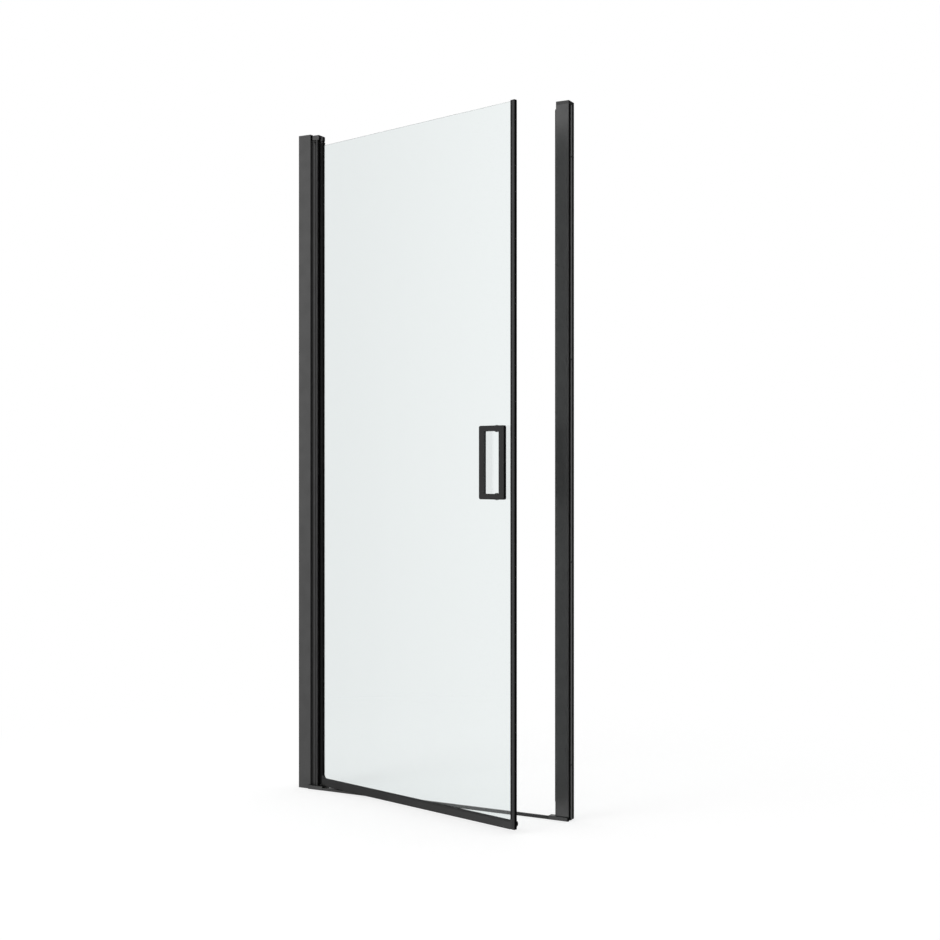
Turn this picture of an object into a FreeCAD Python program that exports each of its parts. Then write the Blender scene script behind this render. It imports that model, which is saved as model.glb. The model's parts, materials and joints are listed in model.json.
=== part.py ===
"""Framed pivot shower door, 880 x 1950 mm, standing open by 15 degrees.

Row frame, in millimetres: +X runs along the doorway from the pivot side to the strike side, +Y into the
shower and +Z up. The origin is at tray level, at mid-width, on the front plane of the wall channels.

The leaf is drawn in its own coordinates: s runs along the leaf from the pivot axis to the free edge, n is
the depth, positive towards the shower, and z is up. place_on_pivot() turns it to its rest angle.
"""
import FreeCAD, Part
import math
import os

# ---------------------------------------------------------------- overall sizes
overall_width = 880.0
overall_height = 1950.0
rest_angle = 15.0

# wall channels: a U extrusion on each wall, open towards the doorway
channel_depth = 36.0
left_channel_reach = 43.0
right_channel_reach = 38.5
channel_wall = 1.6
channel_corner = 0.8
mouth_hook = 0.6
mouth_hook_length = 3.0
wall_lip = 2.0
sealant_groove_width = 11.0
sealant_groove_depth = 2.4
screw_land_width = 9.0
relief_depth = 1.2
wall_hole_radius = 2.75
wall_hole_inset = 150.0
wall_hole_count = 4

# channel caps
cap_height = 9.5
cap_plate = 2.5
cap_skirt = 1.6
cap_spigot_depth = 8.0
cap_spigot_wall = 1.4

# pivot axis, and the rounded nose of the hinge stile that turns about it
pivot_inset = 74.5
pivot_setback = 13.0
nose_radius = 5.5
nose_gap = 1.0
pin_radius = 2.5
pin_running_gap = 0.05
bush_length = 20.0
bush_flange_radius = 5.2
bearing_gap = 0.3

# posts that slide in the wall channels
slide_gap = 0.1
post_wall = 1.6
post_reserve = 8.0
post_drop = 8.5
cove_margin = 1.0
cove_depth = 3.5
bead_width = 6.5
bead_round = 2.0
rear_leg_reach = 3.0
rear_leg_root = 5.0
rear_leg_fillet = 4.0
post_seal_width = 2.2
post_seal_edge = 0.8
post_seal_groove = 1.4
post_seal_gap = 0.4
strike_setback = 1.0
strike_reserve = 6.0

# grooves that hold the magnetic seals
slot_lip = 1.4
slot_mouth = 2.6
slot_cavity = 3.6
slot_cavity_depth = 3.4
slot_play = 0.1
strike_seal_reach = 6.2
strike_seal_half = 4.5
door_seal_proud = 0.8
door_seal_half = 3.8
magnet_half = 2.4
magnet_thickness = 2.3
seal_skin = 1.2
stop_fin_reach = 11.5
stop_fin_thickness = 1.2
stop_fin_gap = 0.5
stop_fin_start = 45.0

# leaf: glass, and how the extrusions grip it
glass_thickness = 5.0
gasket_wall = 0.6
gasket_floor = 0.7
gasket_nose = 1.3
lip_wall = 1.2
cover_wall = 0.7
closing_gap = 6.5
stile_wall = 1.4
divider_wall = 1.2
cover_margin = 0.3
hinge_pocket_depth = 4.2
closing_pocket_depth = 7.9
closing_face_width = 10.0
closing_corner = 1.2
end_plate = 2.0

# heights of the leaf's ends
stile_drop = 8.0
stile_rise = 9.5
closing_stile_rise = 2.0
hinge_foot = 14.0
rail_bottom = 11.2

# bottom rail
rail_slot_mouth = 2.2
rail_slot_cavity = 3.4
rail_slot_cavity_depth = 2.4
rail_chamber_half = 3.5
rail_chamber_height = 4.4
rail_pocket_depth = 11.4
rail_cover_height = 4.2
rail_round = 1.0
rail_notch_length = 24.0
rail_notch_height = 3.0
hinge_corner_fillet = 8.0
closing_corner_fillet = 3.0
tongue_length = 24.0
tongue_play = 0.1
connector_screw_radius = 1.5
connector_screw_inset = 12.0

# drip seal and deflector
drip_seal_start = 30.0
drip_seal_end_gap = 16.0
drip_seal_half = 4.2
drip_seal_body = 0.9
drip_fin_wall = 1.0
drip_fin_drop = 1.7
deflector_start = 30.0
deflector_depth = 7.0
deflector_low = 17.0
deflector_height = 16.0
deflector_wall = 1.2
deflector_cap = 1.2
deflector_end_gap = 1.5

# threshold
threshold_height = 8.0
threshold_depth = 16.5
threshold_proud = 3.7
threshold_slope = 1.2
threshold_front_round = 2.5
threshold_back_round = 4.0
threshold_wall = 1.6
glue_groove_depth = 0.5
glue_groove_width = 3.0
glue_groove_offset = 2.8

# pivot blocks and threshold end block
block_proud = 4.6
block_bevel = 0.9
bottom_block_height = 12.0
bottom_block_reach = 12.5
bottom_block_overlap = 7.0
end_block_height = 10.4
end_block_reach = 20.0
end_block_depth = 19.0
end_block_end_round = 3.5
block_tongue = 10.0
block_tongue_play = 0.15
tongue_cover_gap = 0.1
top_block_height = 14.0
top_block_width = 23.4
top_block_overhang = 4.4
spigot_length = 20.0
spigot_play = 0.1
spigot_width = 12.0
arm_gap = 5.0
arm_height = 11.0
arm_reach = 8.0
arm_round = 3.5
pin_grip = 9.0
bottom_pin_reach = 16.0
block_screw_drop = 6.0
block_screw_radius = 2.0
block_screw_head = 2.8
block_screw_head_height = 1.0
block_screw_head_play = 0.2
block_screw_length = 9.0

# screws that lock the posts in the channels, with their covers
post_screw_radius = 1.9
post_screw_head = 3.4
post_screw_head_height = 1.8
post_screw_length = 9.0
post_screw_inset = 30.0
strike_screw_inset = 20.0
post_screw_end_inset = 200.0
post_screw_count = 3
screw_cover_half = 5.5
screw_cover_height = 3.2
screw_cover_wall = 1.2
screw_cover_bevel = 0.9

# handle: an upright ring on two posts, outside the leaf
handle_width = 90.0
handle_height = 195.0
handle_side_bar = 19.0
handle_end_bar = 15.0
handle_thickness = 9.0
handle_corner = 5.0
handle_window_corner = 2.5
handle_outer_round = 3.0
handle_standoff = 8.0
handle_edge_inset = 23.5
handle_centre_height = 969.5
handle_post_radius = 6.0
handle_screw_radius = 2.5
handle_screw_bite = 6.0
handle_screw_head = 4.4
handle_screw_head_height = 2.4
washer_radius = 8.0
washer_thickness = 1.0
sleeve_wall = 1.4
sleeve_play = 0.2
glass_hole_radius = 6.0
handle_cap_radius = 9.5
handle_cap_height = 6.0
head_play = 0.15
handle_cap_bevel = 1.4

# ---------------------------------------------------------------- places worked out from the sizes
left_face = -overall_width / 2
right_face = overall_width / 2
mid_depth = channel_depth / 2
pivot_x = left_face + pivot_inset
pivot_y = pivot_setback
channel_web = sealant_groove_depth + channel_wall
screw_land_y = wall_lip + sealant_groove_width + screw_land_width / 2
left_mouth = left_face + left_channel_reach
right_mouth = right_face - right_channel_reach
channel_top = overall_height - cap_height
post_top = channel_top - post_drop
hinge_stile_top = post_top - stile_drop
glass_top = hinge_stile_top - stile_rise
closing_stile_top = glass_top + closing_stile_rise

post_half = mid_depth - channel_wall - mouth_hook - slide_gap
post_front = mid_depth - post_half
post_back = mid_depth + post_half
post_tail = left_face + channel_web + post_reserve
post_side = pivot_x - nose_radius - nose_gap
bead_left = post_side - bead_width
cove_left = left_mouth + cove_margin
arm_half = nose_radius
seat_radius = nose_radius + nose_gap
post_tip = pivot_x + rear_leg_reach
seat_back = pivot_y + seat_radius
post_shoulder = pivot_x - rear_leg_root
arm_low = hinge_stile_top + arm_gap
strike_face = right_mouth + strike_setback
strike_tail = right_face - channel_web - strike_reserve

pocket_half = glass_thickness / 2 + gasket_wall
lip_half = pocket_half + lip_wall
leaf_half = lip_half + cover_wall
leaf_end = right_mouth - closing_gap - pivot_x
chamber_radius = nose_radius - stile_wall
hinge_pocket = chamber_radius + divider_wall
hinge_cover = hinge_pocket + cover_margin
hinge_lip_end = hinge_pocket + hinge_pocket_depth
closing_pocket = slot_lip + slot_cavity_depth + divider_wall
closing_lip_end = closing_pocket + closing_pocket_depth
rail_start = hinge_lip_end
rail_end = leaf_end - closing_lip_end

slot_roof = rail_bottom + slot_lip + rail_slot_cavity_depth
rail_chamber_low = slot_roof + divider_wall
rail_chamber_high = rail_chamber_low + rail_chamber_height
rail_pocket = rail_chamber_high + divider_wall
rail_lip_top = rail_pocket + rail_pocket_depth
rail_cover_low = rail_lip_top - rail_cover_height
rail_gasket_top = rail_lip_top + gasket_nose
glass_start = hinge_pocket + gasket_floor
glass_end = leaf_end - closing_pocket - gasket_floor
glass_bottom = rail_pocket + gasket_floor

handle_s = leaf_end - handle_edge_inset - handle_width / 2
handle_back = -glass_thickness / 2 - handle_standoff
handle_fixings = handle_height / 2 - handle_end_bar / 2
bar_front = -threshold_proud
bar_back = bar_front + threshold_depth
bar_left = pivot_x + bottom_block_reach
bar_right = right_mouth - end_block_reach


# ---------------------------------------------------------------- drawing helpers
class Outline:
    """A closed outline in the XY plane, drawn corner by corner with lines and arcs."""

    def __init__(self, x, y):
        self.first = FreeCAD.Vector(x, y, 0)
        self.last = self.first
        self.edges = []

    def line(self, x, y):
        """Go straight to a corner; a corner that is already reached adds nothing."""
        corner = FreeCAD.Vector(x, y, 0)
        if corner.distanceToPoint(self.last) > 1e-6:
            self.edges.append(Part.LineSegment(self.last, corner).toShape())
            self.last = corner
        return self

    def through(self, mid_x, mid_y, x, y):
        """Go along an arc through one point to the next corner."""
        middle = FreeCAD.Vector(mid_x, mid_y, 0)
        corner = FreeCAD.Vector(x, y, 0)
        self.edges.append(Part.Arc(self.last, middle, corner).toShape())
        self.last = corner
        return self

    def turn(self, centre_x, centre_y, radius, start, end):
        """Go to an arc about a centre and along it, from one angle to another in degrees."""
        places = []
        for angle in (start, (start + end) / 2, end):
            direction = math.radians(angle)
            places.append((centre_x + radius * math.cos(direction), centre_y + radius * math.sin(direction)))
        self.line(*places[0])
        return self.through(*places[1], *places[2])

    def face(self):
        """Close the outline and fill it."""
        self.line(self.first.x, self.first.y)
        return Part.Face(Part.Wire(self.edges))


def upright(face, low, high):
    """Extrude a face drawn in plan from one height to another."""
    solid = face.extrude(FreeCAD.Vector(0, 0, high - low))
    solid.translate(FreeCAD.Vector(0, 0, low))
    return solid


def lengthwise(face, start, end):
    """Extrude a face drawn across the X axis, as (Y, Z), from one X to another."""
    solid = face.extrude(FreeCAD.Vector(0, 0, end - start))
    solid.rotate(FreeCAD.Vector(0, 0, 0), FreeCAD.Vector(1, 1, 1), 120)
    solid.translate(FreeCAD.Vector(start, 0, 0))
    return solid


def facing(face, front, back):
    """Extrude a face drawn in elevation, as (X, Z), from one Y to another."""
    solid = face.extrude(FreeCAD.Vector(0, 0, back - front))
    solid.rotate(FreeCAD.Vector(0, 0, 0), FreeCAD.Vector(1, 0, 0), 90)
    solid.translate(FreeCAD.Vector(0, back, 0))
    return solid


def slab(x_range, y_range, z_range):
    """A plain block between pairs of limits."""
    size = [high - low for low, high in (x_range, y_range, z_range)]
    return Part.makeBox(*size, FreeCAD.Vector(x_range[0], y_range[0], z_range[0]))


def rod(radius, start, end):
    """A round bar from one point to another."""
    axis = FreeCAD.Vector(*end) - FreeCAD.Vector(*start)
    return Part.makeCylinder(radius, axis.Length, FreeCAD.Vector(*start), axis)


def rounded_rectangle(low_x, high_x, low_y, high_y, radius):
    """A rectangle with round corners."""
    shape = Outline(low_x + radius, low_y)
    shape.turn(high_x - radius, low_y + radius, radius, -90, 0)
    shape.turn(high_x - radius, high_y - radius, radius, 0, 90)
    shape.turn(low_x + radius, high_y - radius, radius, 90, 180)
    shape.turn(low_x + radius, low_y + radius, radius, 180, 270)
    return shape.face()


def bevelled_rectangle(low_x, high_x, low_y, high_y, bevel):
    """A rectangle with its corners cut off at 45 degrees."""
    shape = Outline(low_x + bevel, low_y)
    shape.line(high_x - bevel, low_y).line(high_x, low_y + bevel)
    shape.line(high_x, high_y - bevel).line(high_x - bevel, high_y)
    shape.line(low_x + bevel, high_y).line(low_x, high_y - bevel)
    shape.line(low_x, low_y + bevel)
    return shape.face()


def bevel_edges(solid, size, wanted):
    """Chamfer the edges whose centre passes a test."""
    edges = [edge for edge in solid.Edges if wanted(edge.CenterOfMass)]
    return solid.makeChamfer(size, edges)


def is_near(value, target):
    """Whether two lengths are the same to within a rounding error."""
    return abs(value - target) < 1e-6


def across_depth(radius, x, height, front, back):
    """A round bar that runs into the shower, from one depth to another."""
    return rod(radius, (x, front, height), (x, back, height))


def many_sided(sides, radius, x, height, front, back):
    """A bar with flat sides that runs into the shower, from one depth to another."""
    corners = []
    for step in range(sides):
        turn = math.radians(360 * step / sides)
        corners.append((x + radius * math.cos(turn), height + radius * math.sin(turn)))
    shape = Outline(*corners[0])
    for corner in corners[1:]:
        shape.line(*corner)
    return facing(shape.face(), front, back)


def screw_shank(radius, x, height, front, back):
    """A screw's shank, or the hole it cuts, drawn with twelve flats to keep the mesh light."""
    return many_sided(12, radius, x, height, front, back)


def hexagon_head(radius, x, height, front, back):
    """A hexagon screw head, measured to its corners."""
    return many_sided(6, radius, x, height, front, back)


def mirror_x(solid):
    """The same piece on the other side of the doorway."""
    return solid.mirror(FreeCAD.Vector(0, 0, 0), FreeCAD.Vector(1, 0, 0))


def place_on_pivot(shape):
    """Put a piece of the leaf on its pivot, turned to the rest angle."""
    placed = shape.copy()
    placed.rotate(FreeCAD.Vector(0, 0, 0), FreeCAD.Vector(0, 0, 1), -rest_angle)
    placed.translate(FreeCAD.Vector(pivot_x, pivot_y, 0))
    return placed


def save(name, shape):
    """Write one node."""
    shape.exportStep(f"parts/{name}.step")


def save_on_leaf(name, *solids):
    """Write one node of the leaf, of one or more separate solids."""
    placed = [place_on_pivot(solid) for solid in solids]
    save(name, placed[0] if len(placed) == 1 else Part.makeCompound(placed))


# ---------------------------------------------------------------- wall channels and caps
def channel_section(reach):
    """The U section, with its wall face on x = 0 and its mouth at x = reach."""
    corner = channel_corner
    inner_front = channel_wall
    inner_back = channel_depth - channel_wall
    hook_front = inner_front + mouth_hook
    hook_back = inner_back - mouth_hook
    land_front = wall_lip + sealant_groove_width
    land_back = land_front + screw_land_width
    shape = Outline(0, corner)
    shape.line(0, wall_lip).line(sealant_groove_depth, wall_lip)
    shape.line(sealant_groove_depth, land_front).line(0, land_front)
    shape.line(0, land_back).line(relief_depth, land_back)
    shape.line(relief_depth, channel_depth - wall_lip).line(0, channel_depth - wall_lip)
    shape.line(0, channel_depth - corner).line(corner, channel_depth)
    shape.line(reach - corner, channel_depth).line(reach, channel_depth - corner)
    shape.line(reach, hook_back).line(reach - mouth_hook_length, hook_back)
    shape.line(reach - mouth_hook_length, inner_back).line(channel_web, inner_back)
    shape.line(channel_web, inner_front).line(reach - mouth_hook_length, inner_front)
    shape.line(reach - mouth_hook_length, hook_front).line(reach, hook_front)
    shape.line(reach, corner).line(reach - corner, 0).line(corner, 0)
    return shape.face()


def spread_evenly(inset, count):
    """Evenly spaced heights, the first and the last at an inset from the ends of the door's height."""
    pitch = (overall_height - 2 * inset) / (count - 1)
    return [inset + step * pitch for step in range(count)]


def wall_hole_heights():
    """Heights of the wall screws of a channel."""
    return spread_evenly(wall_hole_inset, wall_hole_count)


def post_screw_heights():
    """Heights of the screws that lock a post in its channel."""
    return spread_evenly(post_screw_end_inset, post_screw_count)


def wall_channel(reach, screw_inset):
    """A channel with its wall face on x = 0, drilled for the wall screws and the post screws."""
    channel = upright(channel_section(reach), 0, channel_top)
    for height in wall_hole_heights():
        hole = rod(wall_hole_radius, (-1, screw_land_y, height), (channel_web + 1, screw_land_y, height))
        channel = channel.cut(hole)
    for height in post_screw_heights():
        hole = screw_shank(post_screw_radius, screw_inset, height, mid_depth, channel_depth + 1)
        channel = channel.cut(hole)
    return channel


def channel_cap(reach):
    """A cap with a skirt flush with the channel, open towards the doorway, and a U spigot inside."""
    cap = upright(bevelled_rectangle(0, reach, 0, channel_depth, channel_corner), channel_top, overall_height)
    hollow = (cap_skirt, reach + 1), (cap_skirt, channel_depth - cap_skirt)
    cap = cap.cut(slab(*hollow, (channel_top - 1, overall_height - cap_plate)))
    spigot_x = channel_web + slide_gap
    spigot_front = channel_wall + slide_gap
    spigot_back = channel_depth - spigot_front
    spigot_z = (channel_top - cap_spigot_depth, overall_height - cap_plate)
    web = slab((spigot_x, spigot_x + cap_spigot_wall), (spigot_front, spigot_back), spigot_z)
    cap = cap.fuse(web)
    spigot_end = channel_web + post_reserve / 2
    for low in (spigot_front, spigot_back - cap_spigot_wall):
        cap = cap.fuse(slab((spigot_x, spigot_end), (low, low + cap_spigot_wall), spigot_z))
    return cap.removeSplitter()


def make_channels():
    """Both wall channels with their caps."""
    left = wall_channel(left_channel_reach, post_screw_inset)
    right = wall_channel(right_channel_reach, strike_screw_inset)
    left_cap = channel_cap(left_channel_reach)
    right_cap = channel_cap(right_channel_reach)
    for solid in (left, left_cap, right, right_cap):
        solid.translate(FreeCAD.Vector(left_face, 0, 0))
    save("wall_channel_left", left)
    save("wall_channel_right", mirror_x(right))
    save("channel_cap_left", left_cap)
    save("channel_cap_right", mirror_x(right_cap))


# ---------------------------------------------------------------- pivot post and strike post
def post_seal_limits():
    """Left and right side of the post seal, near the tip of the post's rear leg."""
    right = post_tip - post_seal_edge
    return right - post_seal_width, right


def post_section():
    """The pivot post: a box in the channel, then a cove, a bead and the seat for the leaf's nose."""
    groove_left, groove_right = post_seal_limits()
    leg_back = seat_back + post_seal_groove + post_wall
    fillet_bend = rear_leg_fillet * (1 - math.sqrt(0.5))
    cove_middle = (cove_left + bead_left) / 2
    shape = Outline(post_tail, post_front)
    shape.line(cove_left, post_front)
    shape.through(cove_middle, post_front + cove_depth, bead_left, post_front)
    shape.turn(bead_left + bead_round, bead_round, bead_round, 180, 270)
    shape.turn(post_side - bead_round, bead_round, bead_round, -90, 0)
    shape.turn(pivot_x, pivot_y, seat_radius, 180, 90)
    shape.line(groove_left, seat_back).line(groove_left, seat_back + post_seal_groove)
    shape.line(groove_right, seat_back + post_seal_groove).line(groove_right, seat_back)
    shape.line(post_tip, seat_back).line(post_tip, leg_back)
    shape.line(post_shoulder + rear_leg_fillet, leg_back)
    shape.through(
        post_shoulder + fillet_bend, leg_back + fillet_bend,
        post_shoulder, leg_back + rear_leg_fillet)
    shape.turn(post_shoulder - channel_corner, post_back - channel_corner, channel_corner, 0, 90)
    shape.line(post_tail, post_back)
    return shape.face()


def main_chamber():
    """Limits in plan of the post's larger hollow, which the pivot blocks plug into."""
    across = (post_tail + post_wall, bead_left)
    deep = (post_front + cove_depth + post_wall, post_back - post_wall)
    return across, deep


def block_screw_x():
    """Where the screws that lock the pivot blocks stand, in the middle of the blocks' spigots."""
    return bead_left - spigot_play - spigot_width / 2


def block_screw_heights():
    """Heights of the screws that lock the top and the bottom pivot block."""
    return post_top - block_screw_drop, bottom_block_height + block_screw_drop


def block_screw_face():
    """Depth of the cove's surface where the front screws pass."""
    half_chord = (bead_left - cove_left) / 2
    cove_radius = (half_chord**2 + cove_depth**2) / (2 * cove_depth)
    off_centre = block_screw_x() - (cove_left + bead_left) / 2
    return post_front + cove_depth - cove_radius + math.sqrt(cove_radius**2 - off_centre**2)


def make_pivot_post():
    """The pivot post, drilled for the screws of its blocks and of the channel."""
    low = bottom_block_height
    post = upright(post_section(), low, post_top)
    across, deep = main_chamber()
    rear_low = seat_back + post_seal_groove + post_wall
    rear_room = (bead_left + post_wall, post_shoulder - post_wall), (rear_low, post_back - post_wall)
    for room in ((across, deep), rear_room):
        post = post.cut(slab(*room, (low - 1, post_top + 1)))
    for hole in block_screw_holes():
        post = post.cut(hole)
    spot_face = block_screw_head + block_screw_head_play
    top_height, _ = block_screw_heights()
    post = post.cut(across_depth(spot_face, block_screw_x(), top_height, 0, block_screw_face()))
    screw_x = left_face + post_screw_inset
    for height in post_screw_heights():
        post = post.cut(screw_shank(post_screw_radius, screw_x, height, mid_depth, channel_depth))
    save("pivot_post", post)


def make_post_seal():
    """The soft seal in the pivot post, with a round lip just clear of the leaf's nose."""
    left, right = post_seal_limits()
    lip_front = pivot_y + nose_radius + post_seal_gap
    lip_radius = min(post_seal_width / 2, seat_back - lip_front)
    shape = Outline(left, seat_back + post_seal_groove)
    shape.turn(left + lip_radius, lip_front + lip_radius, lip_radius, 180, 270)
    shape.turn(right - lip_radius, lip_front + lip_radius, lip_radius, -90, 0)
    shape.line(right, seat_back + post_seal_groove)
    save("post_seal", upright(shape.face(), bottom_block_height, post_top))


def make_strike_post():
    """The strike post, a box in the right channel with a groove for its magnetic seal."""
    cavity = strike_face + slot_lip
    shape = Outline(strike_face, post_front)
    shape.line(strike_tail, post_front).line(strike_tail, post_back).line(strike_face, post_back)
    shape.line(strike_face, pivot_y + slot_mouth).line(cavity, pivot_y + slot_mouth)
    shape.line(cavity, pivot_y + slot_cavity).line(cavity + slot_cavity_depth, pivot_y + slot_cavity)
    shape.line(cavity + slot_cavity_depth, pivot_y - slot_cavity).line(cavity, pivot_y - slot_cavity)
    shape.line(cavity, pivot_y - slot_mouth).line(strike_face, pivot_y - slot_mouth)
    post = upright(shape.face(), 0, post_top)
    room = (cavity + slot_cavity_depth + post_wall, strike_tail - post_wall)
    deep = (post_front + post_wall, post_back - post_wall)
    post = post.cut(slab(room, deep, (-1, post_top + 1)))
    screw_x = right_face - strike_screw_inset
    for height in post_screw_heights():
        post = post.cut(screw_shank(post_screw_radius, screw_x, height, mid_depth, channel_depth))
    save("strike_post", post)


def make_strike_seal():
    """The magnetic seal on the strike post, with a fin that stops the leaf, and its magnet bar."""
    tip = strike_face - strike_seal_reach
    head = strike_face + slot_lip
    neck_half = slot_mouth - slot_play
    head_half = slot_cavity - slot_play
    head_end = head + slot_cavity_depth - slot_play
    front = pivot_y - strike_seal_half
    back = pivot_y + strike_seal_half
    shape = Outline(tip, front)
    shape.line(strike_face, front).line(strike_face, pivot_y - neck_half)
    shape.line(head, pivot_y - neck_half).line(head, pivot_y - head_half)
    shape.line(head_end, pivot_y - head_half).line(head_end, pivot_y + head_half)
    shape.line(head, pivot_y + head_half).line(head, pivot_y + neck_half)
    shape.line(strike_face, pivot_y + neck_half).line(strike_face, back).line(tip, back)
    seal = upright(shape.face(), end_block_height, post_top)
    magnet_x = (tip + seal_skin, tip + seal_skin + magnet_thickness)
    magnet_y = (pivot_y - magnet_half, pivot_y + magnet_half)
    magnet = slab(magnet_x, magnet_y, (end_block_height, post_top))
    fin_front = pivot_y + leaf_half + stop_fin_gap
    fin_back = fin_front + stop_fin_thickness
    root = slab((strike_face - stop_fin_thickness, strike_face), (back, fin_back), (stop_fin_start, post_top))
    fin = slab((strike_face - stop_fin_reach, strike_face), (fin_front, fin_back), (stop_fin_start, post_top))
    save("strike_seal", seal.cut(magnet).fuse(root.fuse(fin)).removeSplitter())
    save("strike_magnet", magnet)


def post_screw(x, height):
    """One screw through a channel's inner flange into the post, with its hexagon head inside the shower."""
    tip = channel_depth - post_screw_length
    head_back = channel_depth + post_screw_head_height
    shank = screw_shank(post_screw_radius, x, height, tip, channel_depth)
    return shank.fuse(hexagon_head(post_screw_head, x, height, channel_depth, head_back))


def screw_cover(x, height):
    """One square push-on cover over a screw head, with bevelled edges."""
    top = channel_depth + screw_cover_height
    half = screw_cover_half
    cover = slab((x - half, x + half), (channel_depth, top), (height - half, height + half))
    cover = bevel_edges(cover, screw_cover_bevel, lambda centre: is_near(centre.y, top))
    room = half - screw_cover_wall
    inside = (channel_depth - 1, top - screw_cover_wall)
    return cover.cut(slab((x - room, x + room), inside, (height - room, height + room)))


def make_post_screws():
    """The screws that lock both posts, and their covers."""
    places = []
    for x in (left_face + post_screw_inset, right_face - strike_screw_inset):
        places += [(x, height) for height in post_screw_heights()]
    save("post_screws", Part.makeCompound([post_screw(*place) for place in places]))
    save("screw_covers", Part.makeCompound([screw_cover(*place) for place in places]))


# ---------------------------------------------------------------- pivot blocks and pins
def spigot_limits():
    """Limits in plan of the plugs that hold the pivot blocks in the post."""
    across, deep = main_chamber()
    right = across[1] - spigot_play
    return (right - spigot_width, right), (deep[0] + spigot_play, deep[1] - spigot_play)


def block_screw_holes():
    """The holes for the top block's screw, in the cove, and for the bottom block's, inside the shower."""
    x = block_screw_x()
    top_height, bottom_height = block_screw_heights()
    top_tip = block_screw_face() + block_screw_length
    top = screw_shank(block_screw_radius, x, top_height, 0, top_tip)
    bottom = screw_shank(block_screw_radius, x, bottom_height, post_back - block_screw_length, channel_depth)
    return top, bottom


def arm_outline(left):
    """The arm in plan, from a given left end to its rounded end beyond the pivot axis."""
    right = pivot_x + arm_reach
    front = pivot_y - arm_half
    back = pivot_y + arm_half
    shape = Outline(left, front)
    shape.turn(right - arm_round, front + arm_round, arm_round, -90, 0)
    shape.turn(right - arm_round, back - arm_round, arm_round, 0, 90)
    shape.line(left, back)
    return shape.face()


def make_top_pivot_block():
    """The block on the post, with the arm that carries the top pin over the leaf."""
    right = post_side + top_block_overhang
    across = (right - top_block_width, right)
    top = post_top + top_block_height
    body = slab(across, (0, post_back), (post_top, top))
    body = bevel_edges(body, block_bevel, lambda centre: centre.z > post_top + block_bevel)
    arm = upright(arm_outline(post_side), post_top, arm_low + arm_height)
    hub = rod(arm_half, (pivot_x, pivot_y, arm_low), (pivot_x, pivot_y, post_top))
    hub = hub.fuse(upright(arm_outline(pivot_x), arm_low, post_top))
    block = body.fuse(arm).fuse(hub)
    block = block.fuse(slab(*spigot_limits(), (post_top - spigot_length, post_top)))
    block = block.cut(block_screw_holes()[0])
    pin_hole = rod(pin_radius, (pivot_x, pivot_y, arm_low - 1), (pivot_x, pivot_y, arm_low + pin_grip))
    save("top_pivot_block", block.cut(pin_hole).removeSplitter())


def on_front_edge(centre):
    """Whether an edge's centre lies on a block's front face, above the tray."""
    return is_near(centre.y, -block_proud) and centre.z > block_bevel


def make_bottom_pivot_block():
    """The foot under the post: it carries the bottom pin, and wraps the channel's front corner."""
    low_x = left_mouth + tongue_cover_gap
    high_x = pivot_x + bottom_block_reach
    body = slab((low_x, high_x), (-block_proud, post_back), (0, bottom_block_height))
    wrap_x = (left_mouth - bottom_block_overlap, low_x)
    wrap = slab(wrap_x, (-block_proud, -tongue_cover_gap), (0, bottom_block_height))
    block = body.fuse(wrap).removeSplitter()
    block = bevel_edges(block, block_bevel, on_front_edge)
    spigot = slab(*spigot_limits(), (bottom_block_height, bottom_block_height + spigot_length))
    block = block.fuse(spigot).fuse(bar_tongue(high_x, high_x + block_tongue))
    block = block.cut(block_screw_holes()[1])
    hole_low = bottom_block_height - pin_grip
    hole = rod(pin_radius, (pivot_x, pivot_y, hole_low), (pivot_x, pivot_y, bottom_block_height + 1))
    save("bottom_pivot_block", block.cut(hole).removeSplitter())


def make_pivot_pins():
    """The two steel pins, fixed in the blocks, that the leaf turns on."""
    top_end = arm_low + pin_grip
    low_end = hinge_stile_top - bush_length
    bottom_end = bottom_block_height - pin_grip
    high_end = hinge_foot + bottom_pin_reach
    save("top_pivot_pin", rod(pin_radius, (pivot_x, pivot_y, low_end), (pivot_x, pivot_y, top_end)))
    save("bottom_pivot_pin", rod(pin_radius, (pivot_x, pivot_y, bottom_end), (pivot_x, pivot_y, high_end)))


def make_block_screws():
    """The screws that lock both pivot blocks in the post, each with a low hexagon head."""
    x = block_screw_x()
    screws = []
    for height, surface, inwards in zip(block_screw_heights(), (block_screw_face(), post_back), (1, -1)):
        proud = surface - inwards * block_screw_head_height
        tip = surface + inwards * block_screw_length
        shank = screw_shank(block_screw_radius, x, height, *sorted((surface, tip)))
        head = hexagon_head(block_screw_head, x, height, *sorted((proud, surface)))
        screws.append(shank.fuse(head))
    save("block_screws", Part.makeCompound(screws))


# ---------------------------------------------------------------- threshold
def bar_section(inset):
    """The threshold bar's section as (Y, Z), or its hollow when inset by the wall."""
    front = bar_front + inset
    back = bar_back - inset
    top = threshold_height - inset
    front_round = max(threshold_front_round - inset, 0.3)
    back_round = max(threshold_back_round - inset, 0.3)
    back_top = top - threshold_slope
    shape = Outline(front, inset)
    shape.turn(front + front_round, top - front_round, front_round, 180, 90)
    shape.turn(back - back_round, back_top - back_round, back_round, 90, 0)
    shape.line(back, inset)
    return shape.face()


def bar_tongue(start, end):
    """The tongue of an end block that fills the bar's hollow."""
    return lengthwise(bar_section(threshold_wall + block_tongue_play), start, end)


def make_threshold():
    """The threshold bar, a flat tube with two grooves for adhesive under it."""
    bar = lengthwise(bar_section(0), bar_left, bar_right)
    bar = bar.cut(lengthwise(bar_section(threshold_wall), bar_left - 1, bar_right + 1))
    bar_middle = (bar_front + bar_back) / 2
    for side in (-1, 1):
        centre = bar_middle + side * glue_groove_offset
        groove = (centre - glue_groove_width / 2, centre + glue_groove_width / 2)
        bar = bar.cut(slab((bar_left - 1, bar_right + 1), groove, (-1, glue_groove_depth)))
    save("threshold_bar", bar)


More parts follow.
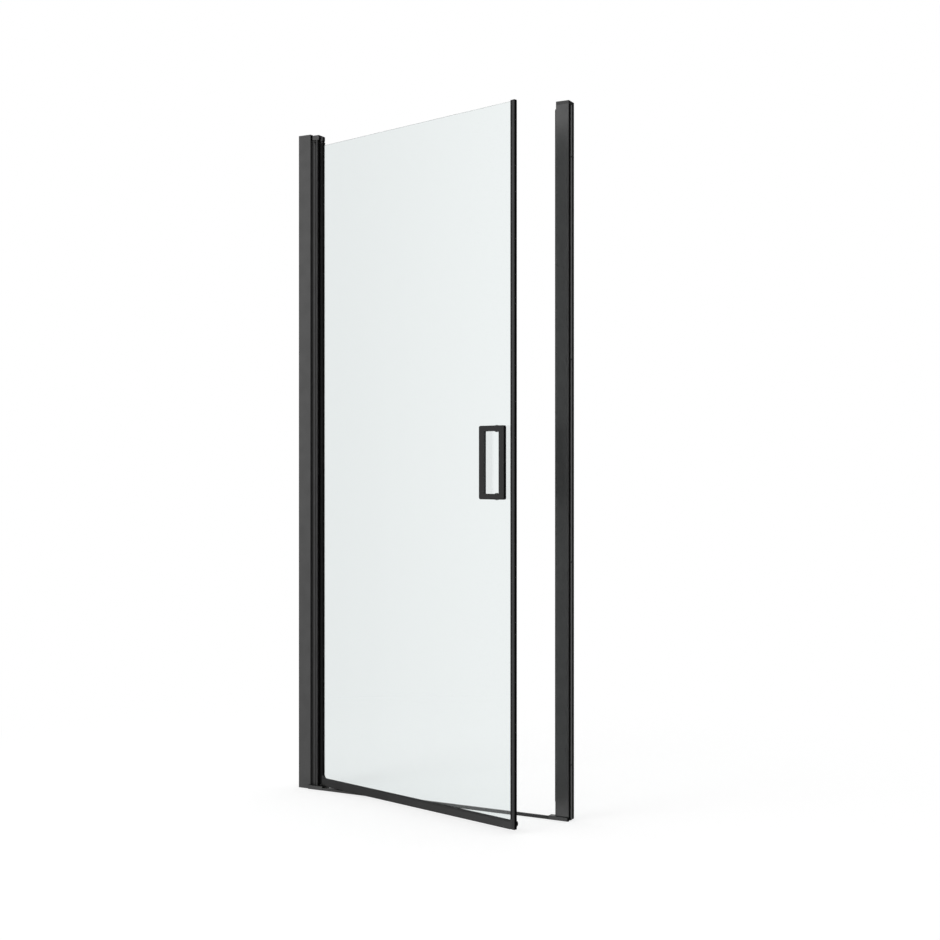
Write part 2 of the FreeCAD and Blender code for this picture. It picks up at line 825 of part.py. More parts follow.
def make_threshold_end_block():
    """The block at the strike side, which takes the bar's end and covers the foot of the channel."""
    low_x = bar_right
    body_x = (low_x, right_mouth - tongue_cover_gap)
    body = slab(body_x, (-block_proud, end_block_depth - block_proud), (0, end_block_height))
    cover_x = (body_x[1], right_face)
    cover = slab(cover_x, (-block_proud, -tongue_cover_gap), (0, end_block_height))
    block = body.fuse(cover).removeSplitter()
    block = bevel_edges(block, block_bevel, on_front_edge)
    end = rounded_rectangle(low_x - end_block_end_round, right_face, -block_proud, channel_depth, end_block_end_round)
    block = block.common(upright(end, 0, end_block_height))
    save("threshold_end_block", block.fuse(bar_tongue(low_x - block_tongue, low_x)).removeSplitter())


# ---------------------------------------------------------------- leaf: glass and extrusions
def make_glass():
    """The toughened pane, drilled for the handle."""
    across = (glass_start, glass_end)
    glass = slab(across, (-glass_thickness / 2, glass_thickness / 2), (glass_bottom, glass_top))
    for height in handle_heights():
        hole = across_depth(glass_hole_radius, handle_s, height, -glass_thickness, glass_thickness)
        glass = glass.cut(hole)
    save_on_leaf("door_glass", glass)


def hinge_stile_section():
    """The hinge stile: a round nose about the pivot axis and a pocket for the glass."""
    shape = Outline(0, nose_radius)
    shape.through(-nose_radius, 0, 0, -nose_radius)
    shape.line(hinge_cover, -nose_radius).line(hinge_cover, -lip_half)
    shape.line(hinge_lip_end, -lip_half).line(hinge_lip_end, -pocket_half)
    shape.line(hinge_pocket, -pocket_half).line(hinge_pocket, pocket_half)
    shape.line(hinge_lip_end, pocket_half).line(hinge_lip_end, lip_half)
    shape.line(hinge_cover, lip_half).line(hinge_cover, nose_radius)
    return shape.face()


def closing_stile_section():
    """The closing stile: a groove for the magnetic seal at the free edge and a pocket for the glass."""
    cavity = leaf_end - slot_lip
    cavity_end = cavity - slot_cavity_depth
    pocket = leaf_end - closing_pocket
    lip_end = leaf_end - closing_lip_end
    cover = leaf_end - closing_face_width
    corner = closing_corner
    shape = Outline(leaf_end, slot_mouth)
    shape.line(cavity, slot_mouth).line(cavity, slot_cavity).line(cavity_end, slot_cavity)
    shape.line(cavity_end, -slot_cavity).line(cavity, -slot_cavity).line(cavity, -slot_mouth)
    shape.line(leaf_end, -slot_mouth)
    shape.turn(leaf_end - corner, -leaf_half + corner, corner, 0, -90)
    shape.line(cover, -leaf_half).line(cover, -lip_half).line(lip_end, -lip_half)
    shape.line(lip_end, -pocket_half).line(pocket, -pocket_half).line(pocket, pocket_half)
    shape.line(lip_end, pocket_half).line(lip_end, lip_half).line(cover, lip_half)
    shape.line(cover, leaf_half)
    shape.turn(leaf_end - corner, leaf_half - corner, corner, 90, 0)
    return shape.face()


def rail_section():
    """The bottom rail as (n, z): a groove for the drip seal, a chamber, and a pocket for the glass."""
    slot_low = rail_bottom + slot_lip
    shape = Outline(rail_slot_mouth, rail_bottom)
    shape.line(rail_slot_mouth, slot_low).line(rail_slot_cavity, slot_low)
    shape.line(rail_slot_cavity, slot_roof).line(-rail_slot_cavity, slot_roof)
    shape.line(-rail_slot_cavity, slot_low).line(-rail_slot_mouth, slot_low)
    shape.line(-rail_slot_mouth, rail_bottom)
    shape.turn(-leaf_half + rail_round, rail_bottom + rail_round, rail_round, -90, -180)
    shape.line(-leaf_half, rail_cover_low).line(-lip_half, rail_cover_low).line(-lip_half, rail_lip_top)
    shape.line(-pocket_half, rail_lip_top).line(-pocket_half, rail_pocket)
    shape.line(pocket_half, rail_pocket).line(pocket_half, rail_lip_top)
    shape.line(lip_half, rail_lip_top).line(lip_half, rail_cover_low).line(leaf_half, rail_cover_low)
    shape.turn(leaf_half - rail_round, rail_bottom + rail_round, rail_round, 0, -90)
    return shape.face()


def gasket_section(pocket, cover, lip_end):
    """A glazing gasket as (distance, depth): it lines a pocket, wraps both lips and slopes to the glass."""
    glass_edge = pocket + gasket_floor
    glass_face = glass_thickness / 2
    tip = lip_end + gasket_nose
    shape = Outline(cover, -leaf_half)
    shape.line(lip_end, -leaf_half)
    shape.through(lip_end + gasket_nose * 0.8, -(leaf_half + glass_face) / 2, tip, -glass_face)
    shape.line(glass_edge, -glass_face).line(glass_edge, glass_face).line(tip, glass_face)
    shape.through(lip_end + gasket_nose * 0.8, (leaf_half + glass_face) / 2, lip_end, leaf_half)
    shape.line(cover, leaf_half).line(cover, lip_half).line(lip_end, lip_half)
    shape.line(lip_end, pocket_half).line(pocket, pocket_half).line(pocket, -pocket_half)
    shape.line(lip_end, -pocket_half).line(lip_end, -lip_half).line(cover, -lip_half)
    return shape.face()


def make_hinge_stile():
    """The hinge stile, with a round chamber that holds both bushes."""
    low = hinge_foot + end_plate
    high = hinge_stile_top - end_plate
    stile = upright(hinge_stile_section(), low, high)
    save_on_leaf("hinge_stile", stile.cut(rod(chamber_radius, (0, 0, low - 1), (0, 0, high + 1))))


def make_closing_stile():
    """The closing stile at the free edge."""
    low = rail_bottom + end_plate
    save_on_leaf("closing_stile", upright(closing_stile_section(), low, closing_stile_top - end_plate))


def make_bottom_rail():
    """The bottom rail, notched where it passes over the bottom pivot block."""
    rail = lengthwise(rail_section(), rail_start, rail_end)
    notch = (rail_start - 1, rail_notch_length), (-leaf_half - 1, leaf_half + 1)
    rail = rail.cut(slab(*notch, (rail_bottom - 1, rail_bottom + rail_notch_height)))
    chamber = (rail_start - 1, rail_end + 1), (-rail_chamber_half, rail_chamber_half)
    rail = rail.cut(slab(*chamber, (rail_chamber_low, rail_chamber_high)))
    for place in connector_screw_places():
        rail = rail.cut(screw_shank(connector_screw_radius, *place, rail_chamber_half, leaf_half + 1))
    save_on_leaf("bottom_rail", rail)


def make_gaskets():
    """The three glazing gaskets."""
    fillet_top = rail_gasket_top + hinge_corner_fillet
    hinge = upright(gasket_section(hinge_pocket, hinge_cover, hinge_lip_end), fillet_top, glass_top)
    face = gasket_section(closing_pocket, closing_face_width, closing_lip_end)
    closing = upright(face, rail_gasket_top + closing_corner_fillet, glass_top)
    closing = mirror_x(closing)
    closing.translate(FreeCAD.Vector(leaf_end, 0, 0))
    face = gasket_section(rail_pocket, rail_cover_low, rail_lip_top)
    rail = face.extrude(FreeCAD.Vector(0, 0, rail_end - rail_start))
    rail.rotate(FreeCAD.Vector(0, 0, 0), FreeCAD.Vector(0, 1, 0), -90)
    rail.translate(FreeCAD.Vector(rail_end, 0, 0))
    save_on_leaf("hinge_gasket", hinge)
    save_on_leaf("closing_gasket", closing)
    save_on_leaf("rail_gasket", rail)


def corner_cover(cover, lip_end, low, fillet):
    """A moulded cover on a bottom corner's front face, with a concave fillet onto the glass."""
    inner = lip_end + gasket_nose
    high = rail_gasket_top + fillet
    bend = inner + fillet
    slack = fillet * (1 - math.sqrt(0.5))
    outer_face = Outline(cover, low)
    outer_face.line(lip_end, low).line(lip_end, rail_gasket_top).line(bend, rail_gasket_top)
    outer_face.through(inner + slack, rail_gasket_top + slack, inner, high).line(cover, high)
    lug_face = Outline(lip_end, rail_gasket_top)
    lug_face.line(bend, rail_gasket_top)
    lug_face.through(inner + slack, rail_gasket_top + slack, inner, high).line(lip_end, high)
    plate = facing(outer_face.face(), -leaf_half, -lip_half)
    lug = facing(lug_face.face(), -leaf_half, -glass_thickness / 2)
    return plate.fuse(lug).removeSplitter()


def both_faces(solid):
    """A piece for the leaf's outside and its twin for the inside."""
    return solid, solid.mirror(FreeCAD.Vector(0, 0, 0), FreeCAD.Vector(0, 1, 0))


def make_corner_covers():
    """Four moulded covers, on both faces of both bottom corners."""
    hinge = corner_cover(hinge_cover, hinge_lip_end, hinge_foot + end_plate, hinge_corner_fillet)
    low = rail_bottom + end_plate
    closing = corner_cover(closing_face_width, closing_lip_end, low, closing_corner_fillet)
    closing = mirror_x(closing)
    closing.translate(FreeCAD.Vector(leaf_end, 0, 0))
    save_on_leaf("corner_covers", *both_faces(hinge), *both_faces(closing))


# ---------------------------------------------------------------- leaf: ends, connectors and bushes
def hinge_end_outline():
    """The outer outline of the hinge stile, for its end plates."""
    shape = Outline(0, nose_radius)
    shape.through(-nose_radius, 0, 0, -nose_radius)
    shape.line(hinge_cover, -nose_radius).line(hinge_cover, -leaf_half).line(hinge_lip_end, -leaf_half)
    shape.line(hinge_lip_end, leaf_half).line(hinge_cover, leaf_half).line(hinge_cover, nose_radius)
    return shape.face()


def closing_end_outline():
    """The outer outline of the closing stile, for its end plates."""
    corner = closing_corner
    lip_end = leaf_end - closing_lip_end
    shape = Outline(lip_end, -leaf_half)
    shape.turn(leaf_end - corner, -leaf_half + corner, corner, -90, 0)
    shape.turn(leaf_end - corner, leaf_half - corner, corner, 0, 90)
    shape.line(lip_end, leaf_half)
    return shape.face()


def connector_screw_places():
    """Places along the leaf, and the height, of the set screws that hold the connectors in the rail."""
    height = (rail_chamber_low + rail_chamber_high) / 2
    return [(rail_start + connector_screw_inset, height), (rail_end - connector_screw_inset, height)]


def connector(end_plate_solid, pocket, lip_end, low):
    """A corner connector: an end plate, a riser in the stile's pocket and a tongue in the rail."""
    high = rail_chamber_high - tongue_play
    riser_half = pocket_half - tongue_play
    riser = slab(sorted((pocket, lip_end)), (-riser_half, riser_half), (low, high))
    inwards = 1 if lip_end > pocket else -1
    tongue_half = rail_chamber_half - tongue_play
    tongue_z = (rail_chamber_low + tongue_play, high)
    tongue_s = sorted((lip_end, lip_end + inwards * tongue_length))
    tongue = slab(tongue_s, (-tongue_half, tongue_half), tongue_z)
    return end_plate_solid.fuse(riser).fuse(tongue).removeSplitter()


def make_connectors():
    """The two bottom connectors, and the set screws through the rail that bear on their tongues."""
    low = hinge_foot + end_plate
    plate = upright(hinge_end_outline(), hinge_foot, low)
    plate = plate.cut(rod(chamber_radius, (0, 0, hinge_foot - 1), (0, 0, low + 1)))
    pocket = hinge_pocket + tongue_play
    save_on_leaf("hinge_connector", connector(plate, pocket, hinge_lip_end, low))
    low = rail_bottom + end_plate
    plate = upright(closing_end_outline(), rail_bottom, low)
    pocket = leaf_end - closing_pocket - tongue_play
    lip_end = leaf_end - closing_lip_end
    save_on_leaf("closing_connector", connector(plate, pocket, lip_end, low))
    tip = rail_chamber_half - tongue_play
    screws = [screw_shank(connector_screw_radius, *place, tip, leaf_half) for place in connector_screw_places()]
    save_on_leaf("connector_screws", *screws)


def make_end_caps():
    """The caps on top of the stiles; the hinge cap lets the bush pass."""
    low = hinge_stile_top - end_plate
    hinge = upright(hinge_end_outline(), low, hinge_stile_top)
    hinge = hinge.cut(rod(chamber_radius, (0, 0, low - 1), (0, 0, hinge_stile_top + 1)))
    closing = upright(closing_end_outline(), closing_stile_top - end_plate, closing_stile_top)
    save_on_leaf("hinge_stile_cap", hinge)
    save_on_leaf("closing_stile_cap", closing)


def bush_tube(low, high):
    """A plain bush in the stile's chamber, before its bore."""
    return rod(chamber_radius, (0, 0, low), (0, 0, high))


def make_bushes():
    """The top and bottom bushes, bored for the pins; the bottom one's flange carries the leaf."""
    bore = rod(pin_radius + pin_running_gap, (0, 0, 0), (0, 0, overall_height))
    save_on_leaf("top_pivot_bush", bush_tube(hinge_stile_top - bush_length, hinge_stile_top).cut(bore))
    flange = rod(bush_flange_radius, (0, 0, bottom_block_height + bearing_gap), (0, 0, hinge_foot))
    bottom = flange.fuse(bush_tube(hinge_foot, hinge_foot + bush_length))
    save_on_leaf("bottom_pivot_bush", bottom.cut(bore))


# ---------------------------------------------------------------- leaf: seals and deflector
def make_door_seal():
    """The magnetic seal in the closing stile, with its magnet bar."""
    low = rail_bottom + end_plate
    high = closing_stile_top - end_plate
    cavity = leaf_end - slot_lip
    head_end = cavity - slot_cavity_depth + slot_play
    proud = leaf_end + door_seal_proud
    neck_half = slot_mouth - slot_play
    head_half = slot_cavity - slot_play
    shape = Outline(proud, -door_seal_half)
    shape.line(proud, door_seal_half).line(leaf_end, door_seal_half).line(leaf_end, neck_half)
    shape.line(cavity, neck_half).line(cavity, head_half).line(head_end, head_half)
    shape.line(head_end, -head_half).line(cavity, -head_half).line(cavity, -neck_half)
    shape.line(leaf_end, -neck_half).line(leaf_end, -door_seal_half)
    magnet_end = head_end + slot_cavity_depth - slot_play - magnet_thickness
    magnet_s = (magnet_end, magnet_end + magnet_thickness)
    magnet = slab(magnet_s, (-magnet_half, magnet_half), (low, high))
    save_on_leaf("door_seal", upright(shape.face(), low, high).cut(magnet))
    save_on_leaf("door_magnet", magnet)


def make_drip_seal():
    """The seal under the rail: a head in the groove and a fin that drips behind the threshold."""
    neck_half = rail_slot_mouth - slot_play
    head_half = rail_slot_cavity - slot_play
    head_low = rail_bottom + slot_lip
    head_high = slot_roof - slot_play
    body_low = rail_bottom - drip_seal_body
    fin_low = body_low - drip_fin_drop
    fin_back = drip_seal_half
    shape = Outline(-drip_seal_half, rail_bottom)
    shape.line(-drip_seal_half, body_low).line(fin_back - 2 * drip_fin_wall, body_low)
    shape.line(fin_back - drip_fin_wall, fin_low).line(fin_back, fin_low).line(fin_back, rail_bottom)
    shape.line(neck_half, rail_bottom).line(neck_half, head_low).line(head_half, head_low)
    shape.line(head_half, head_high).line(-head_half, head_high).line(-head_half, head_low)
    shape.line(-neck_half, head_low).line(-neck_half, rail_bottom)
    save_on_leaf("drip_seal", lengthwise(shape.face(), drip_seal_start, leaf_end - drip_seal_end_gap))


def deflector_section(inset):
    """The deflector's half-round section as (n, z), or its hollow when inset by the wall."""
    low = deflector_low + inset
    high = deflector_low + deflector_height - inset
    flat = leaf_half + inset
    shape = Outline(flat, low)
    shape.through(leaf_half + deflector_depth - inset, (low + high) / 2, flat, high)
    return shape.face()


def make_deflector():
    """The half-round water deflector along the inside of the rail, and its two end caps."""
    start = deflector_start
    end = leaf_end - deflector_end_gap - deflector_cap
    strip = lengthwise(deflector_section(0), start, end)
    strip = strip.cut(lengthwise(deflector_section(deflector_wall), start - 1, end + 1))
    near_cap = lengthwise(deflector_section(0), start - deflector_cap, start)
    far_cap = lengthwise(deflector_section(0), end, end + deflector_cap)
    save_on_leaf("deflector_strip", strip)
    save_on_leaf("deflector_caps", near_cap, far_cap)


# ---------------------------------------------------------------- leaf: handle
def handle_heights():
    """Heights of the handle's two fixings."""
    return [handle_centre_height + side * handle_fixings for side in (-1, 1)]


def softened_outline(low, high, front, back):
    """The ring across one way: a rectangle whose two front corners are rounded."""
    radius = handle_outer_round
    shape = Outline(low, back)
    shape.turn(low + radius, front + radius, radius, 180, 270)
    shape.turn(high - radius, front + radius, radius, -90, 0)
    shape.line(high, back)
    return shape.face()


def make_handle_ring():
    """The ring: a rounded rectangle with softened front edges and a window."""
    left, right = handle_s - handle_width / 2, handle_s + handle_width / 2
    low, high = handle_centre_height - handle_height / 2, handle_centre_height + handle_height / 2
    front = handle_back - handle_thickness
    ring = facing(rounded_rectangle(left, right, low, high, handle_corner), front, handle_back)
    ring = ring.common(upright(softened_outline(left, right, front, handle_back), low, high))
    side_view = upright(softened_outline(low, high, front, handle_back), -right, -left)
    side_view.rotate(FreeCAD.Vector(0, 0, 0), FreeCAD.Vector(0, 1, 0), -90)
    ring = ring.common(side_view)
    window = rounded_rectangle(
        left + handle_side_bar, right - handle_side_bar,
        low + handle_end_bar, high - handle_end_bar, handle_window_corner)
    ring = ring.cut(facing(window, front - 1, handle_back + 1))
    for height in handle_heights():
        thread_end = handle_back - handle_screw_bite
        ring = ring.cut(screw_shank(handle_screw_radius, handle_s, height, thread_end, handle_back))
    save_on_leaf("handle_ring", ring)


def handle_stack(height):
    """The pieces of one fixing: post, washer, flanged sleeve, cap and screw."""
    outer_face = -glass_thickness / 2
    inner_face = glass_thickness / 2
    post_end = outer_face - washer_thickness
    seat = inner_face + washer_thickness

    def turned(radius, start, end):
        return across_depth(radius, handle_s, height, start, end)

    bore = screw_shank(handle_screw_radius, handle_s, height, handle_back - 1, seat + 1)
    post = turned(handle_post_radius, handle_back, post_end).cut(bore)
    washer = turned(washer_radius, inner_face, seat).cut(bore)
    sleeve_radius = glass_hole_radius - sleeve_play
    sleeve = turned(washer_radius, post_end, outer_face).fuse(turned(sleeve_radius, outer_face, inner_face))
    sleeve = sleeve.cut(turned(sleeve_radius - sleeve_wall, post_end - 1, inner_face + 1))
    cap_end = seat + handle_cap_height
    cap = turned(handle_cap_radius, seat, cap_end)
    cap = bevel_edges(cap, handle_cap_bevel, lambda centre: is_near(centre.y, cap_end))
    head_end = seat + handle_screw_head_height
    room = hexagon_head(handle_screw_head + head_play, handle_s, height, seat - 1, head_end + head_play)
    screw = screw_shank(handle_screw_radius, handle_s, height, handle_back - handle_screw_bite, seat)
    screw = screw.fuse(hexagon_head(handle_screw_head, handle_s, height, seat, head_end))
    return post, washer, sleeve, cap.cut(room), screw


def make_handle_fixings():
    """Both fixings of the handle, each kind of piece in one node."""
    names = ("handle_posts", "handle_washers", "handle_sleeves", "handle_caps", "handle_screws")
    stacks = [handle_stack(height) for height in handle_heights()]
    for name, pieces in zip(names, zip(*stacks)):
        save_on_leaf(name, *pieces)


# ---------------------------------------------------------------- build
os.makedirs("parts", exist_ok=True)
make_channels()
make_pivot_post()
make_post_seal()
make_strike_post()
make_strike_seal()
make_post_screws()
make_top_pivot_block()
make_bottom_pivot_block()
make_pivot_pins()
make_block_screws()
make_threshold()
make_threshold_end_block()
make_glass()
make_hinge_stile()
make_closing_stile()
make_bottom_rail()
make_gaskets()
make_corner_covers()
make_connectors()
make_end_caps()
make_bushes()
make_door_seal()
make_drip_seal()
make_deflector()
make_handle_ring()
make_handle_fixings()
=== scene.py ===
"""Looks of a pivot shower door: its finishes, its hand-made pieces, the studio and the camera.

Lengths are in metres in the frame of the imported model: X across the doorway, -Y towards the
viewer outside the shower, Z up from the tray. The leaf stands 15 degrees open at rest.
"""

import json
import logging
import math
from dataclasses import dataclass
from enum import Enum
from typing import Iterable, Optional, Sequence, Union

import bmesh
import bpy
from bpy.types import Material, Node, NodeSocket as Socket, World
from mathutils import Matrix, Vector


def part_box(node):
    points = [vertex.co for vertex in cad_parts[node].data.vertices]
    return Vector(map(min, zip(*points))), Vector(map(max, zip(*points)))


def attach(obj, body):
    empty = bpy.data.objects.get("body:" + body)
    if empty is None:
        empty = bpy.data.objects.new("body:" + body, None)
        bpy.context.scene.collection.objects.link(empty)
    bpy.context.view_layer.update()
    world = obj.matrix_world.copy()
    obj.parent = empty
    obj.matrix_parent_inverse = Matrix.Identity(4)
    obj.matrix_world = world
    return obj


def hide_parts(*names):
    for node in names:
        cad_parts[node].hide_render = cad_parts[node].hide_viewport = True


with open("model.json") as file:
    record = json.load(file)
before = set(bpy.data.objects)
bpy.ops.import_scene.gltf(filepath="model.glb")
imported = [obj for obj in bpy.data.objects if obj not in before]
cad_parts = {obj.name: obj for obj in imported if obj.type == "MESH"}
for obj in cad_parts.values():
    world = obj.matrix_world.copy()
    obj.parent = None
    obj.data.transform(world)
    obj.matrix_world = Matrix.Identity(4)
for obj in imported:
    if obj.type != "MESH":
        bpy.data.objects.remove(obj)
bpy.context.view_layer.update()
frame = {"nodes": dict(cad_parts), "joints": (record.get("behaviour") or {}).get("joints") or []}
MM = 0.001
NEAR = 0.001 * MM
REST_ANGLE = 15.0
LOG = logging.getLogger("pivot_shower_door")


class Body(Enum):
    """The two bodies that pieces ride on."""

    FRAME = "frame"
    DOOR = "door"


class Grain(Enum):
    """The way an extrusion was drawn through its die, as the stretch of its finest marks."""

    NONE = (1.0, 1.0, 1.0)
    UPRIGHT = (1.0, 1.0, 0.004)
    ACROSS = (0.004, 1.0, 1.0)


# ---------------------------------------------------------------- materials
class NodeGraph:
    """The nodes of a material or a world, added and joined one by one."""

    def __init__(self, owner: Union[Material, World], output: str) -> None:
        """Clear the owner's nodes and add its output.

        Args:
            owner: The material or world.
            output: The output node's type.
        """
        owner.use_nodes = True
        self.tree = owner.node_tree
        self.tree.nodes.clear()
        self.output = self.add(output)

    def add(self, kind: str, **settings: object) -> Node:
        """Add a node.

        Args:
            kind: The node's type.
            settings: Properties to set on it.

        Returns:
            The new node.
        """
        node = self.tree.nodes.new(kind)
        for key, value in settings.items():
            setattr(node, key, value)
        return node

    def join(self, source: Socket, target: Socket) -> None:
        """Link an output to an input."""
        self.tree.links.new(source, target)

    def feed(self, source: Union[Socket, float, Sequence[float]], target: Socket) -> None:
        """Give an input its source: an output, a number or a linear colour.

        Args:
            source: The output, number or colour.
            target: The input.
        """
        if isinstance(source, Socket):
            self.join(source, target)
        elif target.type == "RGBA":
            target.default_value = (*source, 1)
        else:
            target.default_value = source

    def calculate(self, operation: str, *values: Union[Socket, float]) -> Socket:
        """Work a value out.

        Args:
            operation: The math node's operation.
            values: Outputs or numbers, in the order of its inputs.

        Returns:
            The result.
        """
        node = self.add("ShaderNodeMath", operation=operation)
        for value, target in zip(values, node.inputs):
            self.feed(value, target)
        return node.outputs[0]

    def is_any(self, *rays: str) -> Socket:
        """Whether the ray is of one of some kinds.

        Args:
            rays: The kinds, as the Light Path node names them.

        Returns:
            1 where it is, else 0.
        """
        path = self.add("ShaderNodeLightPath")
        answer = path.outputs[rays[0]]
        for ray in rays[1:]:
            answer = self.calculate("MAXIMUM", answer, path.outputs[ray])
        return answer

    def mix_shaders(self, factor: Socket, first: Socket, second: Socket) -> Socket:
        """Mix two shaders.

        Args:
            factor: How much of the second one shows.
            first: The first shader.
            second: The second shader.

        Returns:
            The mixed shader.
        """
        mix = self.add("ShaderNodeMixShader")
        for source, target in zip((factor, first, second), mix.inputs):
            self.join(source, target)
        return mix.outputs[0]

    def show(self, shader: Socket) -> None:
        """Put a shader on the surface."""
        self.join(shader, self.output.inputs["Surface"])


class NodeSheet(NodeGraph):
    """One new material's nodes."""

    def __init__(self, name: str) -> None:
        """Start an empty material.

        Args:
            name: The material's name.
        """
        self.material = bpy.data.materials.new(name)
        super().__init__(self.material, "ShaderNodeOutputMaterial")
        self.place = self.add("ShaderNodeTexCoord").outputs["Object"]

    def axes(self) -> tuple[Socket, Socket, Socket]:
        """The object's own coordinates, one by one.

        Returns:
            X, Y and Z.
        """
        parts = self.add("ShaderNodeSeparateXYZ")
        self.join(self.place, parts.inputs[0])
        return tuple(parts.outputs)

    def noise(self, scale: float, detail: float = 2.0, stretch: Sequence[float] = (1, 1, 1),
              turn: float = 0.0) -> Socket:
        """Noise over the object's own coordinates.

        Args:
            scale: Spots per metre.
            detail: How many finer layers it has.
            stretch: Factors on the three axes; a small one draws the spots out along that axis.
            turn: How far the pattern is turned about the upright axis, in degrees.

        Returns:
            The noise's value, about 0.5 on average.
        """
        mapping = self.add("ShaderNodeMapping")
        mapping.inputs["Rotation"].default_value = (0, 0, math.radians(turn))
        mapping.inputs["Scale"].default_value = stretch
        self.join(self.place, mapping.inputs["Vector"])
        texture = self.add("ShaderNodeTexNoise")
        texture.inputs["Scale"].default_value = scale
        texture.inputs["Detail"].default_value = detail
        self.join(mapping.outputs["Vector"], texture.inputs["Vector"])
        return texture.outputs["Fac"]

    def spread(self, source: Socket, low: float, high: float,
               limits: tuple[float, float] = (0.3, 0.7)) -> Socket:
        """Bring a value's useful range to another range.

        Args:
            source: The value.
            low: What the lower limit becomes.
            high: What the upper limit becomes.
            limits: The part of the value's range that is used.

        Returns:
            The new value.
        """
        node = self.add("ShaderNodeMapRange", interpolation_type="SMOOTHSTEP")
        node.inputs["From Min"].default_value = limits[0]
        node.inputs["From Max"].default_value = limits[1]
        node.inputs["To Min"].default_value = low
        node.inputs["To Max"].default_value = high
        self.join(source, node.inputs["Value"])
        return node.outputs["Result"]

    def blend(self, factor: Socket, first: Union[Socket, Sequence[float]],
              second: Union[Socket, Sequence[float]]) -> Socket:
        """Mix two colours.

        Args:
            factor: How much of the second colour shows.
            first: The first colour, an output or linear.
            second: The second colour, an output or linear.

        Returns:
            The mixed colour.
        """
        node = self.add("ShaderNodeMix", data_type="RGBA")
        ends = [socket for socket in node.inputs if socket.type == "RGBA"]
        for colour, end in zip((first, second), ends):
            self.feed(colour, end)
        self.join(factor, node.inputs["Factor"])
        return next(socket for socket in node.outputs if socket.type == "RGBA")

    def between(self, source: Socket, low: float, high: float) -> Socket:
        """Whether a value lies between two limits, as 1 or 0."""
        return self.calculate("COMPARE", source, (low + high) / 2, (high - low) / 2)

    def bump(self, height: Socket, depth: float, strength: float,
             under: Optional[Socket] = None) -> Socket:
        """Turn a height into a bent normal.

        Args:
            height: The height's value, 0 to 1.
            depth: How deep 1 is, in metres.
            strength: How much of it is used.
            under: A normal that this one is laid over.

        Returns:
            The normal.
        """
        node = self.add("ShaderNodeBump")
        node.inputs["Strength"].default_value = strength
        node.inputs["Distance"].default_value = depth
        self.join(height, node.inputs["Height"])
        if under is not None:
            self.join(under, node.inputs["Normal"])
        return node.outputs["Normal"]

    def principled(self, roughness: float, **constants: float) -> Node:
        """Add the main shader, with constants on its own sockets, and show it.

        Args:
            roughness: The shader's roughness, where nothing is joined to it.
            constants: Other sockets, with underscores for spaces.

        Returns:
            The shader node.
        """
        shader = self.add("ShaderNodeBsdfPrincipled")
        shader.inputs["Roughness"].default_value = roughness
        for key, value in constants.items():
            shader.inputs[key.replace("_", " ")].default_value = value
        self.show(shader.outputs["BSDF"])
        return shader

    def tint(self, shader: Node, source: Socket, first: Sequence[float],
             second: Sequence[float]) -> None:
        """Vary a shader's colour between two linear ones, as some noise goes."""
        tone = self.blend(self.spread(source, 0, 1), first, second)
        self.join(tone, shader.inputs["Base Color"])

    def roughen(self, shader: Node, source: Socket, about: float, below: float,
                above: float) -> None:
        """Vary a shader's roughness about a value, as some noise goes."""
        varied = self.spread(source, about - below, about + above)
        self.join(varied, shader.inputs["Roughness"])

    def diffuse(self, level: float) -> Socket:
        """A matt grey shader."""
        node = self.add("ShaderNodeBsdfDiffuse")
        self.feed((level, level, level), node.inputs["Color"])
        return node.outputs[0]

    def glow(self, strength: Union[Socket, float]) -> Socket:
        """A white shader that gives light of its own."""
        node = self.add("ShaderNodeEmission")
        self.feed(strength, node.inputs["Strength"])
        return node.outputs[0]


def grey(level: float, warmth: float = 0.0) -> tuple[float, float, float]:
    """A nearly neutral linear colour, redder than it is blue by the warmth's share."""
    return level * (1 + warmth), level, level * (1 - warmth)


@dataclass(frozen=True)
class WallSide:
    """The side of a channel that goes to the wall: painted shade in its groove and its relief, and a
    much lighter land between them.

    Reaches are measured from mid-width, and the pairs are depths behind the front plane.
    """

    floor_reach: float = 436.5 * MM
    land_reach: float = 439.8 * MM
    end_reach: float = 441.0 * MM
    groove: tuple[float, float] = (1.9 * MM, 13.0 * MM)
    relief: tuple[float, float] = (22.0 * MM, 35.5 * MM)
    land: tuple[float, float] = (13.0 * MM, 22.0 * MM)
    # the groove and the relief are painted darker than the coat: painted shade in these recesses
    groove_shade_level: float = 0.003
    relief_shade_level: float = 0.008
    land_level: float = 0.15

    def colour(self, sheet: NodeSheet, tone: Socket) -> Socket:
        """Lay the wall side's painted shade in the groove and the relief, and its lighter land, over a
        coat.

        Args:
            sheet: The material's nodes.
            tone: The coat's colour elsewhere.

        Returns:
            The colour everywhere.
        """
        across, depth, _ = sheet.axes()
        outside = sheet.calculate("ABSOLUTE", across)
        strips = (
            (self.floor_reach, self.groove, self.groove_shade_level),
            (self.floor_reach, self.relief, self.relief_shade_level),
            (self.land_reach, self.land, self.land_level),
        )
        # paint the shade into the groove and the relief, and the lighter tone onto the land
        for reach, depths, level in strips:
            by_the_wall = sheet.between(outside, reach, self.end_reach)
            here = sheet.calculate("MULTIPLY", by_the_wall, sheet.between(depth, *depths))
            tone = sheet.blend(here, tone, grey(level))
        return tone


